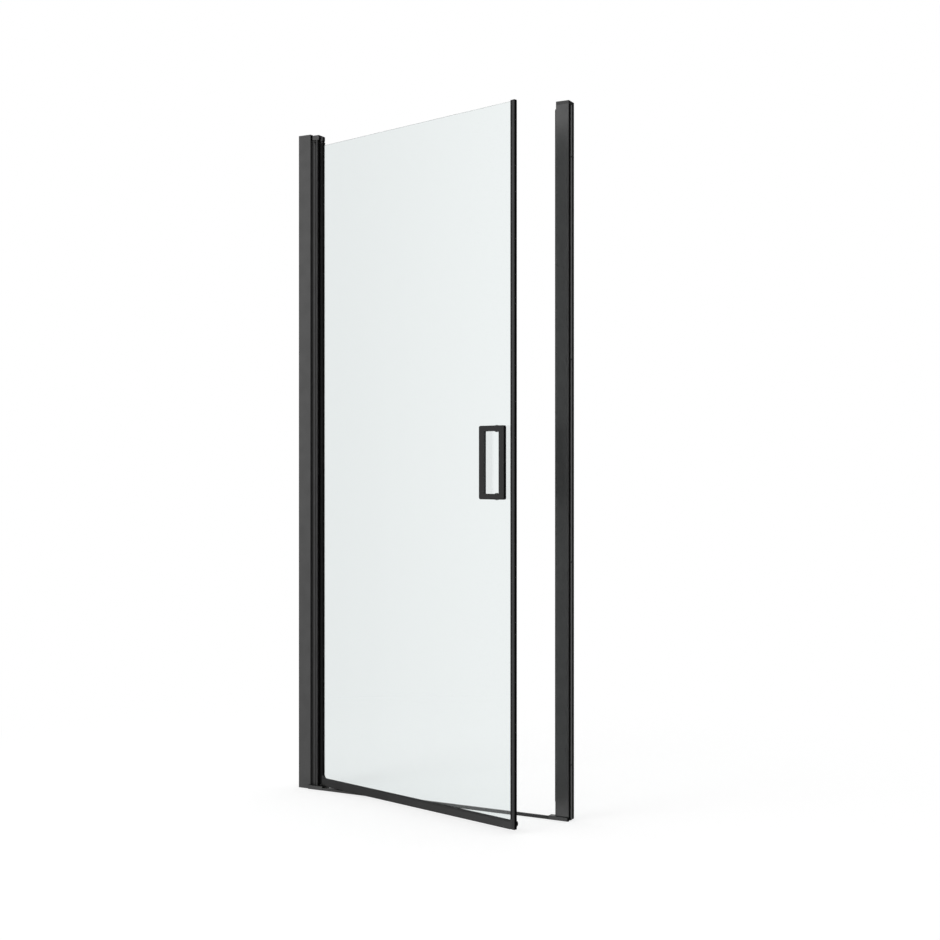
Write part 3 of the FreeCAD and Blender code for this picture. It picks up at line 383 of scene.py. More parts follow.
@dataclass(frozen=True)
class PowderCoat:
    """Black powder coat on aluminium or a die casting: satin, with a faint orange peel."""

    name: str
    level: float
    roughness: float
    grain: Grain = Grain.NONE
    turn: float = 0.0
    peel: float = 0.12
    sheen: float = 0.5
    # whether the wall side's painted shade in its groove and relief, and its lighter land, go over the
    # coat
    by_the_wall: bool = False
    mottle: float = 0.14

    def material(self) -> Material:
        """Build the coat.

        Returns:
            The material.
        """
        sheet = NodeSheet(self.name)
        shader = sheet.principled(self.roughness, IOR=1.5, Specular_IOR_Level=self.sheen)
        cloud = sheet.noise(scale=7.0, detail=3.0, stretch=(1, 1, 0.35))
        dark, light = grey(self.level * (1 - self.mottle)), grey(self.level * (1 + self.mottle))
        tone = sheet.blend(sheet.spread(cloud, 0, 1), dark, light)
        # painted shade in the wall side's recesses, and a lighter land
        if self.by_the_wall:
            tone = WallSide().colour(sheet, tone)
        sheet.join(tone, shader.inputs["Base Color"])
        smudge = sheet.noise(scale=23.0, detail=4.0)
        sheet.roughen(shader, smudge, self.roughness, below=0.03, above=0.04)
        normal = sheet.bump(sheet.noise(scale=1400.0), depth=0.03 * MM, strength=self.peel)
        if self.grain is not Grain.NONE:
            lines = sheet.noise(scale=900.0, stretch=self.grain.value, turn=self.turn)
            normal = sheet.bump(lines, depth=0.02 * MM, strength=0.06, under=normal)
        sheet.join(normal, shader.inputs["Normal"])
        return sheet.material


@dataclass(frozen=True)
class MouldedPlastic:
    """Injection-moulded plastic with a fine spark grain."""

    name: str
    level: float
    roughness: float
    warmth: float = 0.0
    mottle: float = 0.15

    def material(self) -> Material:
        """Build the plastic.

        Returns:
            The material.
        """
        sheet = NodeSheet(self.name)
        shader = sheet.principled(self.roughness, IOR=1.48)
        dark, light = (
            grey(self.level * share, self.warmth) for share in (1 - self.mottle, 1 + self.mottle))
        sheet.tint(shader, sheet.noise(scale=55.0, detail=3.0), dark, light)
        grain = sheet.noise(scale=2600.0, detail=1.0)
        sheet.roughen(shader, grain, self.roughness, below=0.05, above=0.05)
        sheet.join(sheet.bump(grain, depth=0.02 * MM, strength=0.15), shader.inputs["Normal"])
        return sheet.material


@dataclass(frozen=True)
class SoftSeal:
    """Extruded black rubber: matt, with lines along its length."""

    name: str
    level: float
    grain: Grain
    turn: float = 0.0
    sheen: float = 0.12
    roughness: float = 0.62
    bloom: float = 1.6

    def material(self) -> Material:
        """Build the rubber.

        Returns:
            The material.
        """
        sheet = NodeSheet(self.name)
        shader = sheet.principled(self.roughness, IOR=1.5, Specular_IOR_Level=self.sheen)
        bloom = sheet.noise(scale=31.0, detail=4.0)
        sheet.tint(shader, bloom, grey(self.level), grey(self.level * self.bloom))
        sheet.roughen(shader, bloom, self.roughness, below=0.06, above=0.08)
        lines = sheet.noise(scale=1100.0, detail=1.0, stretch=self.grain.value, turn=self.turn)
        sheet.join(sheet.bump(lines, depth=0.03 * MM, strength=0.2), shader.inputs["Normal"])
        return sheet.material


@dataclass(frozen=True)
class TurnedSteel:
    """Bright or blued steel with fine turning marks, and a near-black steel that stands in for painted
    shade.
    """

    name: str
    level: float
    roughness: float
    stain: float = 0.12

    def material(self) -> Material:
        """Build the steel.

        Returns:
            The material.
        """
        sheet = NodeSheet(self.name)
        shader = sheet.principled(self.roughness, Metallic=1.0)
        stained, clean = grey(self.level * (1 - self.stain), 0.01), grey(self.level, 0.015)
        sheet.tint(shader, sheet.noise(scale=160.0, detail=3.0), stained, clean)
        marks = sheet.noise(scale=3000.0, detail=1.0, stretch=Grain.UPRIGHT.value)
        sheet.roughen(shader, marks, self.roughness, below=0.06, above=0.08)
        sheet.join(sheet.bump(marks, depth=0.01 * MM, strength=0.2), shader.inputs["Normal"])
        return sheet.material


@dataclass(frozen=True)
class BlackNylon:
    """Black nylon, very slightly translucent."""

    name: str
    colour: tuple[float, float, float]
    roughness: float
    mottle: float = 0.12

    def material(self) -> Material:
        """Build the nylon.

        Returns:
            The material.
        """
        sheet = NodeSheet(self.name)
        shader = sheet.principled(
            self.roughness, IOR=1.53, Subsurface_Weight=0.15, Subsurface_Scale=0.6 * MM)
        cloud = sheet.noise(scale=240.0)
        darker = tuple(channel * (1 - self.mottle) for channel in self.colour)
        sheet.tint(shader, cloud, darker, self.colour)
        sheet.roughen(shader, cloud, self.roughness, below=0.06, above=0.06)
        return sheet.material


@dataclass(frozen=True)
class ToughenedGlass:
    """Clear toughened glass with a faint cool tint, and a greener look along its edges."""

    name: str
    tint: tuple[float, float, float]
    density: float
    face: tuple[float, float, float]
    lamp_tint: tuple[float, float, float] = (0.93, 0.96, 0.95)

    def material(self) -> Material:
        """Build the glass, which lets lamps through with its own tint.

        Returns:
            The material.
        """
        sheet = NodeSheet(self.name)
        shader = sheet.principled(0.0, IOR=1.5, Transmission_Weight=1.0)
        rollers = sheet.noise(scale=5.0, stretch=(1, 1, 0.05), turn=REST_ANGLE)
        lighter = tuple(min(1.0, channel * 1.008) for channel in self.face)
        sheet.tint(shader, rollers, self.face, lighter)
        clear = sheet.add("ShaderNodeBsdfTransparent")
        clear.inputs["Color"].default_value = (*self.lamp_tint, 1)
        in_shadow = sheet.is_any("Is Shadow Ray")
        sheet.show(sheet.mix_shaders(in_shadow, shader.outputs["BSDF"], clear.outputs["BSDF"]))
        depth = sheet.add("ShaderNodeVolumeAbsorption")
        depth.inputs["Color"].default_value = (*self.tint, 1)
        depth.inputs["Density"].default_value = self.density
        sheet.join(depth.outputs["Volume"], sheet.output.inputs["Volume"])
        return sheet.material


class Finishes:
    """Every finish of the door, made once, with each colour's level, roughness and sheen."""

    def __init__(self) -> None:
        """Make the materials."""
        up, across, turn = Grain.UPRIGHT, Grain.ACROSS, -REST_ANGLE
        self.channel_coats = {}
        # both channel coats carry the painted shade of the wall side's groove and relief
        for side, level, sheen in (("left", 0.009, 0.56), ("right", 0.010, 0.85)):
            coat = PowderCoat(f"{side}_channel_coat", level, 0.33, up, sheen=sheen, by_the_wall=True)
            self.channel_coats[side] = coat.material()
        self.post_coat = PowderCoat("post_coat", 0.010, 0.46, up).material()
        # The strike post's coat is painted darker and duller than the pivot post's: painted shade on
        # its hidden inner face.
        self.strike_shade_coat = PowderCoat("strike_shade_coat", 0.004, 0.5, up, sheen=0.2).material()
        self.block_coat = PowderCoat("block_coat", 0.012, 0.38, peel=0.25, sheen=0.58).material()
        self.end_block_coat = PowderCoat(
            "end_block_coat", 0.006, 0.38, peel=0.25, sheen=0.8).material()
        self.threshold_coat = PowderCoat("threshold_coat", 0.007, 0.42, across).material()
        # The hinge stile's coat is painted darker and duller than the closing stile's: painted shade
        # for the recess in the pivot post where it turns.
        self.nose_shade_coat = PowderCoat("nose_shade_coat", 0.004, 0.42, up, turn, sheen=0.2).material()
        self.stile_coat = PowderCoat("stile_coat", 0.009, 0.34, up, turn, sheen=0.45).material()
        self.rail_coat = PowderCoat("rail_coat", 0.018, 0.34, across, turn, sheen=0.45).material()
        self.handle_coat = PowderCoat("handle_coat", 0.006, 0.34, peel=0.2, sheen=0.36).material()
        self.cap_plastic = MouldedPlastic("cap_plastic", 0.026, 0.40).material()
        self.inner_plastic = MouldedPlastic("inner_plastic", 0.012, 0.55).material()
        self.rubber_upright = SoftSeal("rubber_upright", 0.003, up).material()
        self.rubber_across = SoftSeal("rubber_across", 0.003, across, turn).material()
        self.rail_rubber = SoftSeal("rail_rubber", 0.012, across, turn, sheen=0.5).material()
        self.magnet = MouldedPlastic("magnet_strip", 0.03, 0.6, warmth=0.15).material()
        self.steel = TurnedSteel("turned_steel", 0.62, 0.28).material()
        # The block screws are coloured near black to give the dark spot below the top block: painted
        # shade.
        self.shade_dark_steel = TurnedSteel("shade_black_steel", 0.004, 0.5).material()
        self.pin_steel = TurnedSteel("blued_steel", 0.12, 0.42).material()
        self.nylon = BlackNylon("nylon_bush", (0.024, 0.024, 0.025), 0.5).material()
        self.glass = ToughenedGlass(
            "toughened_glass", tint=(0.2, 0.62, 0.55), density=6.0,
            face=(0.855, 0.880, 0.880)).material()


# ---------------------------------------------------------------- pieces
def leaf_matrix() -> Matrix:
    """The matrix from the leaf's own frame (along, into the shower, up) to the model's."""
    pivot = Matrix.Translation(Vector(frame["joints"][0]["pos_m"]))
    return pivot @ Matrix.Rotation(math.radians(-REST_ANGLE), 4, "Z")


LEAF = leaf_matrix()


def make_object(name: str, mesh: bmesh.types.BMesh, coat: Material) -> bpy.types.Object:
    """Turn a bmesh into an object of the scene, and free it.

    Args:
        name: The object's name.
        mesh: The bmesh.
        coat: The object's material.

    Returns:
        The object.
    """
    data = bpy.data.meshes.new(name)
    mesh.to_mesh(data)
    mesh.free()
    data.materials.append(coat)
    made = bpy.data.objects.new(name, data)
    bpy.context.scene.collection.objects.link(made)
    return made


class Workpiece:
    """A piece in the making: one bmesh, in the model's frame or the leaf's."""

    sharp_from = math.radians(32)
    weld_reach = 0.1 * NEAR

    def __init__(self, name: str) -> None:
        """Start a piece of this name with nothing."""
        self.name = name
        self.mesh = bmesh.new()

    def bevel(self, edges: Iterable[bmesh.types.BMEdge], width: float, segments: int) -> None:
        """Round some edges over.

        Args:
            edges: The edges.
            width: How far back from the edge the rounding starts.
            segments: How many strips it has.
        """
        chosen = list(edges)
        if chosen:
            bmesh.ops.bevel(
                self.mesh, geom=chosen, offset=width, offset_type="OFFSET", segments=segments,
                profile=0.5, affect="EDGES", clamp_overlap=True, material=-1)

    def lathe(self, profile: Sequence[tuple[float, float]], centre: Vector,
              steps: int = 48) -> None:
        """Turn a closed or axis-to-axis profile about an axis that runs into the shower.

        Args:
            profile: Pairs of radius and depth, from one end to the other.
            centre: A point on the axis.
            steps: How many steps the turn has.
        """
        mesh = self.mesh
        corners = [mesh.verts.new(centre + Vector((radius, depth, 0))) for radius, depth in profile]
        edges = [mesh.edges.new(pair) for pair in zip(corners, corners[1:])]
        bmesh.ops.spin(
            mesh, geom=corners + edges, cent=centre, axis=(0, 1, 0), angle=math.tau,
            steps=steps, use_merge=True)
        bmesh.ops.remove_doubles(mesh, verts=mesh.verts, dist=self.weld_reach)
        loose = [vert for vert in mesh.verts if not vert.link_faces]
        bmesh.ops.delete(mesh, geom=loose, context="VERTS")

    def finish(self, coat: Material, body: Body, slot: str, node: str,
               turned: bool = False, recalculate: bool = True) -> None:
        """Make the object, with its place in its mesh.

        Args:
            coat: Its material.
            body: The body that it rides on.
            slot: The record's material slot; not used.
            node: The CAD node that it stands for.
            turned: Whether it was made in the leaf's own frame.
            recalculate: Whether its faces are turned outwards first.
        """
        if turned:
            bmesh.ops.transform(self.mesh, matrix=LEAF, verts=self.mesh.verts)
        if recalculate:
            bmesh.ops.recalc_face_normals(self.mesh, faces=self.mesh.faces)
        for face in self.mesh.faces:
            face.smooth = True
        for edge in self.mesh.edges:
            if len(edge.link_faces) != 2 or edge.calc_face_angle(0.0) > self.sharp_from:
                edge.smooth = False
        piece = make_object(self.name, self.mesh, coat)
        weigh = piece.modifiers.new("even_shading", "WEIGHTED_NORMAL")
        weigh.keep_sharp = True
        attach(piece, body.value)
        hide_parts(node)
        faces = len(piece.data.polygons)
        LOG.info("piece %s rides on %s, %d faces", self.name, body.value, faces)


class EasedCopy(Workpiece):
    """A copy of a CAD node with its sharp edges eased, as a die or a mould leaves them."""

    flat_within = math.radians(0.5)
    node_weld_reach = 2 * NEAR

    def __init__(self, node: str) -> None:
        """Copy the node's mesh and join its loose triangles into flat faces.

        Args:
            node: The CAD node.
        """
        super().__init__(f"{node}_eased")
        self.node = node
        mesh = self.mesh
        mesh.from_mesh(frame["nodes"][node].data)
        bmesh.ops.remove_doubles(mesh, verts=mesh.verts, dist=self.node_weld_reach)
        bmesh.ops.dissolve_limit(
            mesh, angle_limit=self.flat_within, verts=mesh.verts, edges=mesh.edges)

    def ease(self, width: float, segments: int = 2, sharper_than: float = 28.0) -> "EasedCopy":
        """Ease the sharp edges.

        Args:
            width: How wide the easing is.
            segments: How many strips it has.
            sharper_than: The least angle of an edge that is eased, in degrees.

        Returns:
            The piece itself.
        """
        limit = math.radians(sharper_than)
        self.bevel(
            (edge for edge in self.mesh.edges
             if edge.is_manifold and edge.calc_face_angle(0.0) > limit), width, segments)
        return self

    def place(self, coat: Material, body: Body, slot: str) -> None:
        """Finish the copy in place of its node."""
        self.finish(coat, body, slot, self.node, recalculate=False)


def dress(node: str, coat: Material) -> None:
    """Give a CAD node that keeps its own shape a better material.

    Args:
        node: The node.
        coat: The material.
    """
    data = frame["nodes"][node].data
    data.materials.clear()
    data.materials.append(coat)
    LOG.info("node %s keeps its shape and gets %s", node, coat.name)


@dataclass(frozen=True)
class SocketScrew:
    """A round-headed screw with a hexagon socket, its axis running into the shower."""

    head_radius: float = 2.8 * MM
    head_height: float = 1.0 * MM
    shank_radius: float = 2.0 * MM
    shank_length: float = 8.9 * MM
    socket_radius: float = 1.5 * MM
    steps: int = 36

    def profile(self) -> list[tuple[float, float]]:
        """The screw's outline, from the shank's tip over the head to the socket's floor.

        Returns:
            Pairs of radius and depth.
        """
        shank, tip = self.shank_radius, self.shank_length
        rim, top, socket = self.head_radius, self.head_height, self.socket_radius
        floor = 0.15 * top
        return [
            (0.0, tip), (0.8 * shank, tip), (shank, 0.9 * tip), (shank, 0.0), (0.97 * rim, 0.0),
            (rim, -0.1 * top), (rim, -0.3 * top), (0.93 * rim, -0.75 * top),
            (0.8 * rim, -0.95 * top), (0.6 * rim, -top), (socket, -top), (socket, -floor),
            (0.0, -floor),
        ]

    def add_to(self, work: Workpiece, seat: Vector, inwards: int) -> None:
        """Add one screw to a piece.

        Args:
            work: The piece.
            seat: The middle of the face under its head.
            inwards: 1 where the shank runs into the shower, -1 where it runs out of it.
        """
        before = set(work.mesh.verts)
        profile = [(radius, inwards * depth) for radius, depth in self.profile()]
        work.lathe(profile, seat, self.steps)
        for vert in set(work.mesh.verts) - before:
            self.flatten_socket(vert, seat)

    def flatten_socket(self, vert: bmesh.types.BMVert, seat: Vector) -> None:
        """Move a corner of the round socket onto a hexagon.

        Args:
            vert: The corner.
            seat: The middle of the screw's seat.
        """
        across = vert.co - seat
        radius = math.hypot(across.x, across.z)
        if abs(radius - self.socket_radius) > NEAR:
            return
        angle = math.atan2(across.z, across.x)
        sixth = math.pi / 3
        share = math.cos(sixth / 2) / math.cos(angle % sixth - sixth / 2)
        vert.co.x = seat.x + across.x * share
        vert.co.z = seat.z + across.z * share


# ---------------------------------------------------------------- sub-assemblies
@dataclass
class WallFrame:
    """The two wall channels with their caps, the posts in them and the posts' seals."""

    finishes: Finishes
    edge: float = 0.35 * MM
    cap_edge: float = 0.45 * MM

    def build(self) -> None:
        """Make and dress the frame."""
        look = self.finishes
        for side in ("left", "right"):
            channel = EasedCopy(f"wall_channel_{side}").ease(self.edge)
            channel.place(look.channel_coats[side], Body.FRAME, "frame_paint")
            cap = EasedCopy(f"channel_cap_{side}").ease(self.cap_edge, 3)
            cap.place(look.cap_plastic, Body.FRAME, "moulded_cap")
        for post, coat in (("pivot_post", look.post_coat), ("strike_post", look.strike_shade_coat)):
            EasedCopy(post).ease(self.edge).place(coat, Body.FRAME, "frame_paint")
        for seal in ("post_seal", "strike_seal"):
            dress(seal, look.rubber_upright)
        dress("strike_magnet", look.magnet)


@dataclass
class PivotHardware:
    """The pivot blocks, pins, screws and screw covers, which belong to the fixed frame."""

    finishes: Finishes
    block_edge: float = 0.3 * MM
    cover_edge: float = 0.4 * MM
    screw: SocketScrew = SocketScrew()

    def build(self) -> None:
        """Make and dress the hardware."""
        look = self.finishes
        for block in ("top_pivot_block", "bottom_pivot_block"):
            EasedCopy(block).ease(self.block_edge).place(look.block_coat, Body.FRAME, "block_paint")
        covers = EasedCopy("screw_covers").ease(self.cover_edge, 3)
        covers.place(look.cap_plastic, Body.FRAME, "moulded_cap")
        for node in ("top_pivot_pin", "bottom_pivot_pin"):
            dress(node, look.pin_steel)
        dress("post_screws", look.steel)
        self.make_block_screws()

    def make_block_screws(self) -> None:
        """Make the two socket screws that lock the blocks in the post."""
        low, high = (Vector(corner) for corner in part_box("block_screws"))
        screw = self.screw
        middle = (low.x + high.x) / 2
        upper = Vector((middle, low.y + screw.head_height, high.z - screw.head_radius))
        lower = Vector((middle, high.y - screw.head_height, low.z + screw.head_radius))
        work = Workpiece("block_socket_screws")
        screw.add_to(work, upper, inwards=1)
        screw.add_to(work, lower, inwards=-1)
        # near-black steel here: painted shade below the top block
        work.finish(self.finishes.shade_dark_steel, Body.FRAME, "dark_screw", "block_screws")


@dataclass
class Threshold:
    """The bar on the tray and the block that takes its end at the strike side."""

    finishes: Finishes
    edge: float = 0.3 * MM

    def build(self) -> None:
        """Make and dress the threshold."""
        look = self.finishes
        dress("threshold_bar", look.threshold_coat)
        block = EasedCopy("threshold_end_block").ease(self.edge)
        block.place(look.end_block_coat, Body.FRAME, "block_paint")


@dataclass
class LeafFrame:
    """The stiles, the bottom rail and the mouldings at their ends."""

    finishes: Finishes
    edge: float = 0.25 * MM

    def build(self) -> None:
        """Make and dress the leaf's frame."""
        look = self.finishes
        for node, coat in (("hinge_stile", look.nose_shade_coat), ("closing_stile", look.stile_coat),
                           ("bottom_rail", look.rail_coat)):
            EasedCopy(node).ease(self.edge).place(coat, Body.DOOR, "leaf_paint")
        for node in ("corner_covers", "hinge_stile_cap", "closing_stile_cap"):
            EasedCopy(node).ease(self.edge).place(look.rail_coat, Body.DOOR, "moulded_cap")
        for node in ("hinge_connector", "closing_connector"):
            dress(node, look.inner_plastic)
        for node in ("top_pivot_bush", "bottom_pivot_bush"):
            dress(node, look.nylon)
        dress("connector_screws", look.steel)


@dataclass
class Glazing:
    """The pane and the gaskets that hold it."""

    finishes: Finishes
    arris: float = 0.5 * MM
    arris_from: float = 60.0

    def build(self) -> None:
        """Make and dress the glazing."""
        look = self.finishes
        pane = EasedCopy("door_glass").ease(self.arris, sharper_than=self.arris_from)
        pane.place(look.glass, Body.DOOR, "pane")
        for node in ("hinge_gasket", "closing_gasket"):
            dress(node, look.rubber_upright)
        dress("rail_gasket", look.rail_rubber)


@dataclass
class LeafSeals:
    """The magnetic seal, the drip seal and the water deflector."""

    finishes: Finishes
    edge: float = 0.25 * MM

    def build(self) -> None:
        """Make and dress the seals."""
        look = self.finishes
        dress("door_seal", look.rubber_upright)
        dress("drip_seal", look.rubber_across)
        dress("door_magnet", look.magnet)
        dress("deflector_strip", look.rail_coat)
        caps = EasedCopy("deflector_caps").ease(self.edge)
        caps.place(look.cap_plastic, Body.DOOR, "moulded_cap")


@dataclass
class Handle:
    """The ring handle on the outside, and what holds it through the glass.

    Places are in the leaf's own frame, with depth 0 in the middle of the glass.
    """

    finishes: Finishes
    centre_s: float = 692.0 * MM
    centre_z: float = 969.5 * MM
    width: float = 90.0 * MM
    height: float = 195.0 * MM
    side_bar: float = 19.0 * MM
    end_bar: float = 15.0 * MM
    back: float = -10.5 * MM
    front: float = -19.5 * MM
    corner: float = 5.0 * MM
    window_corner: float = 2.5 * MM
    front_round: float = 4.0 * MM
    window_round: float = 0.9 * MM
    back_round: float = 0.5 * MM
    fixing_rise: float = 90.0 * MM
    glass_face: float = 2.5 * MM
    washer_face: float = 3.5 * MM
    washer_radius: float = 8.0 * MM
    hole_radius: float = 2.5 * MM
    post_radius: float = 6.0 * MM
    groove_start: float = 4.4 * MM
    groove_end: float = 5.8 * MM
    groove_depth: float = 0.5 * MM
    sleeve_bore: float = 4.4 * MM
    sleeve_radius: float = 5.8 * MM
    cap_radius: float = 9.5 * MM
    cap_height: float = 6.0 * MM
    cap_bevel: float = 1.8 * MM
    cap_room: float = 4.9 * MM
    cap_roof: float = 2.7 * MM
    metal_edge: float = 0.3 * MM
    moulded_edge: float = 0.25 * MM

    def build(self) -> None:
        """Make and dress the handle."""
        self.make_ring()
        self.make_posts()
        self.make_sleeves()
        self.make_washers()
        self.make_caps()
        dress("handle_screws", self.finishes.steel)

    def make_ring(self) -> None:
        """Make the ring from one face: inset for the window, thickened, and rounded."""
        work = Workpiece("handle_ring_rounded")
        mesh = work.mesh
        half = Vector((self.width / 2, 0, self.height / 2))
        middle = Vector((self.centre_s, self.back, self.centre_z))
        signs = ((-1, -1), (1, -1), (1, 1), (-1, 1))
        corners = [mesh.verts.new(middle + Vector((x * half.x, 0, z * half.z))) for x, z in signs]
        plate = mesh.faces.new(corners)
        mesh.normal_update()
        bmesh.ops.inset_individual(
            mesh, faces=[plate], thickness=self.end_bar, use_even_offset=True)
        window = [vert for vert in mesh.verts if vert not in corners]
        squeeze = (half.x - self.side_bar) / (half.x - self.end_bar)
        bmesh.ops.scale(mesh, vec=(squeeze, 1, 1), space=Matrix.Translation(-middle), verts=window)
        bmesh.ops.delete(mesh, geom=[plate], context="FACES_ONLY")
        solid = bmesh.ops.extrude_face_region(mesh, geom=list(mesh.faces), use_keep_orig=True)
        raised = [item for item in solid["geom"] if isinstance(item, bmesh.types.BMVert)]
        bmesh.ops.translate(mesh, vec=(0, self.front - self.back, 0), verts=raised)
        self.round_ring(work, middle)
        work.finish(
            self.finishes.handle_coat, Body.DOOR, "handle_paint", "handle_ring", turned=True)

    def round_ring(self, work: Workpiece, middle: Vector) -> None:
        """Round the ring's corners, then its front and back edges.

        Args:
            work: The ring, still with sharp edges.
            middle: The middle of the ring's back.
        """
        deep = [edge for edge in work.mesh.edges if self.runs_deep(edge)]
        outer = [edge for edge in deep if self.is_outer(edge, middle)]
        inner = [edge for edge in deep if edge not in set(outer)]
        work.bevel(outer, self.corner, 8)
        work.bevel([edge for edge in inner if edge.is_valid], self.window_corner, 6)
        front = self.rims_at(work, self.front)
        work.bevel([edge for edge in front if self.is_outer(edge, middle)], self.front_round, 6)
        work.bevel(self.rims_at(work, self.front), self.window_round, 4)
        work.bevel(self.rims_at(work, self.back), self.back_round, 3)

    def is_outer(self, edge: bmesh.types.BMEdge, middle: Vector) -> bool:
        """Whether an edge belongs to the ring's outside, and not to its window.

        Args:
            edge: The edge.
            middle: The middle of the ring's back.

        Returns:
            The answer.
        """
        offset = (edge.verts[0].co + edge.verts[1].co) / 2 - middle
        slack = 10 * NEAR
        from_side = abs(abs(offset.x) - self.width / 2)
        from_end = abs(abs(offset.z) - self.height / 2)
        beside = abs(offset.z) < self.height / 2 + slack
        return from_side < self.corner + slack and beside or from_end < self.corner + slack

    def runs_deep(self, edge: bmesh.types.BMEdge) -> bool:
        """Whether an edge runs from the ring's front to its back."""
        return abs(edge.verts[0].co.y - edge.verts[1].co.y) > 100 * NEAR

    def rims_at(self, work: Workpiece, depth: float) -> list[bmesh.types.BMEdge]:
        """Find the sharp edges that lie at one depth.

        Args:
            work: The ring.
            depth: The depth.

        Returns:
            The edges.
        """
        steep = math.radians(60)
        return [
            edge for edge in work.mesh.edges
            if len(edge.link_faces) == 2 and edge.calc_face_angle(0.0) > steep
            and all(abs(vert.co.y - depth) < NEAR for vert in edge.verts)
        ]

    def turn_pair(self, name: str, profile: Sequence[tuple[float, float]],
                  coat: Material, slot: str, node: str) -> None:
        """Turn the same piece at both fixings.

        Args:
            name: The pieces' name.
            profile: Pairs of radius and depth.
            coat: Their material.
            slot: The record's material slot.
            node: The CAD node that they stand for.
        """
        work = Workpiece(name)
        for side in (-1, 1):
            height = self.centre_z + side * self.fixing_rise
            work.lathe(profile, Vector((self.centre_s, 0, height)))
        work.finish(coat, Body.DOOR, slot, node, turned=True)

    def make_posts(self) -> None:
        """Make the two spacer posts, with a shadow groove near the glass."""
        near, far = self.back, -self.washer_face
        bore, wall, edge = self.hole_radius, self.post_radius, self.metal_edge
        waist = wall - self.groove_depth
        start, end = near + self.groove_start, near + self.groove_end
        profile = [
            (bore, near), (wall, near), (wall, start), (waist, start + edge),
            (waist, end - edge), (wall, end), (wall, far - edge),
            (wall - edge, far), (bore, far), (bore, near),
        ]
        self.turn_pair(
            "handle_posts_turned", profile, self.finishes.handle_coat, "handle_paint", "handle_posts")

    def make_sleeves(self) -> None:
        """Make the two flanged sleeves that line the holes in the glass."""
        bore, neck, rim = self.sleeve_bore, self.sleeve_radius, self.washer_radius
        out, face, end = -self.washer_face, -self.glass_face, self.glass_face
        soft = self.moulded_edge
        profile = [
            (bore, out), (rim - soft, out), (rim, out + soft), (rim, face), (neck, face),
            (neck, end - soft), (neck - soft, end), (bore, end), (bore, out),
        ]
        self.turn_pair(
            "handle_sleeves_moulded", profile, self.finishes.nylon, "washer_plastic", "handle_sleeves")

    def make_washers(self) -> None:
        """Make the two washers on the inside of the glass."""
        bore, rim = self.hole_radius, self.washer_radius
        face, out = self.glass_face, self.washer_face
        soft = self.moulded_edge
        profile = [
            (bore, face), (rim, face), (rim, out - soft), (rim - soft, out), (bore, out),
            (bore, face),
        ]
        self.turn_pair(
            "handle_washers_moulded", profile, self.finishes.nylon, "washer_plastic", "handle_washers")

    def make_caps(self) -> None:
        """Make the two round caps on the inside, hollow over the screw heads."""
        rim, seat, edge = self.cap_radius, self.washer_face, self.metal_edge
        end = seat + self.cap_height
        roof = seat + self.cap_roof
        reach = self.cap_bevel
        steps = 6
        turns = [math.pi / 2 * step / steps for step in range(steps + 1)]
        profile = [
            (0.0, roof), (self.cap_room, roof), (self.cap_room, seat), (rim - edge, seat),
            (rim, seat + edge),
        ]
        profile += [
            (rim + reach * (math.cos(turn) - 1), end + reach * (math.sin(turn) - 1))
            for turn in turns
        ]
        profile += [(0.4 * rim, end), (0.0, end)]
        self.turn_pair(
            "handle_caps_moulded", profile, self.finishes.handle_coat, "handle_paint", "handle_caps")


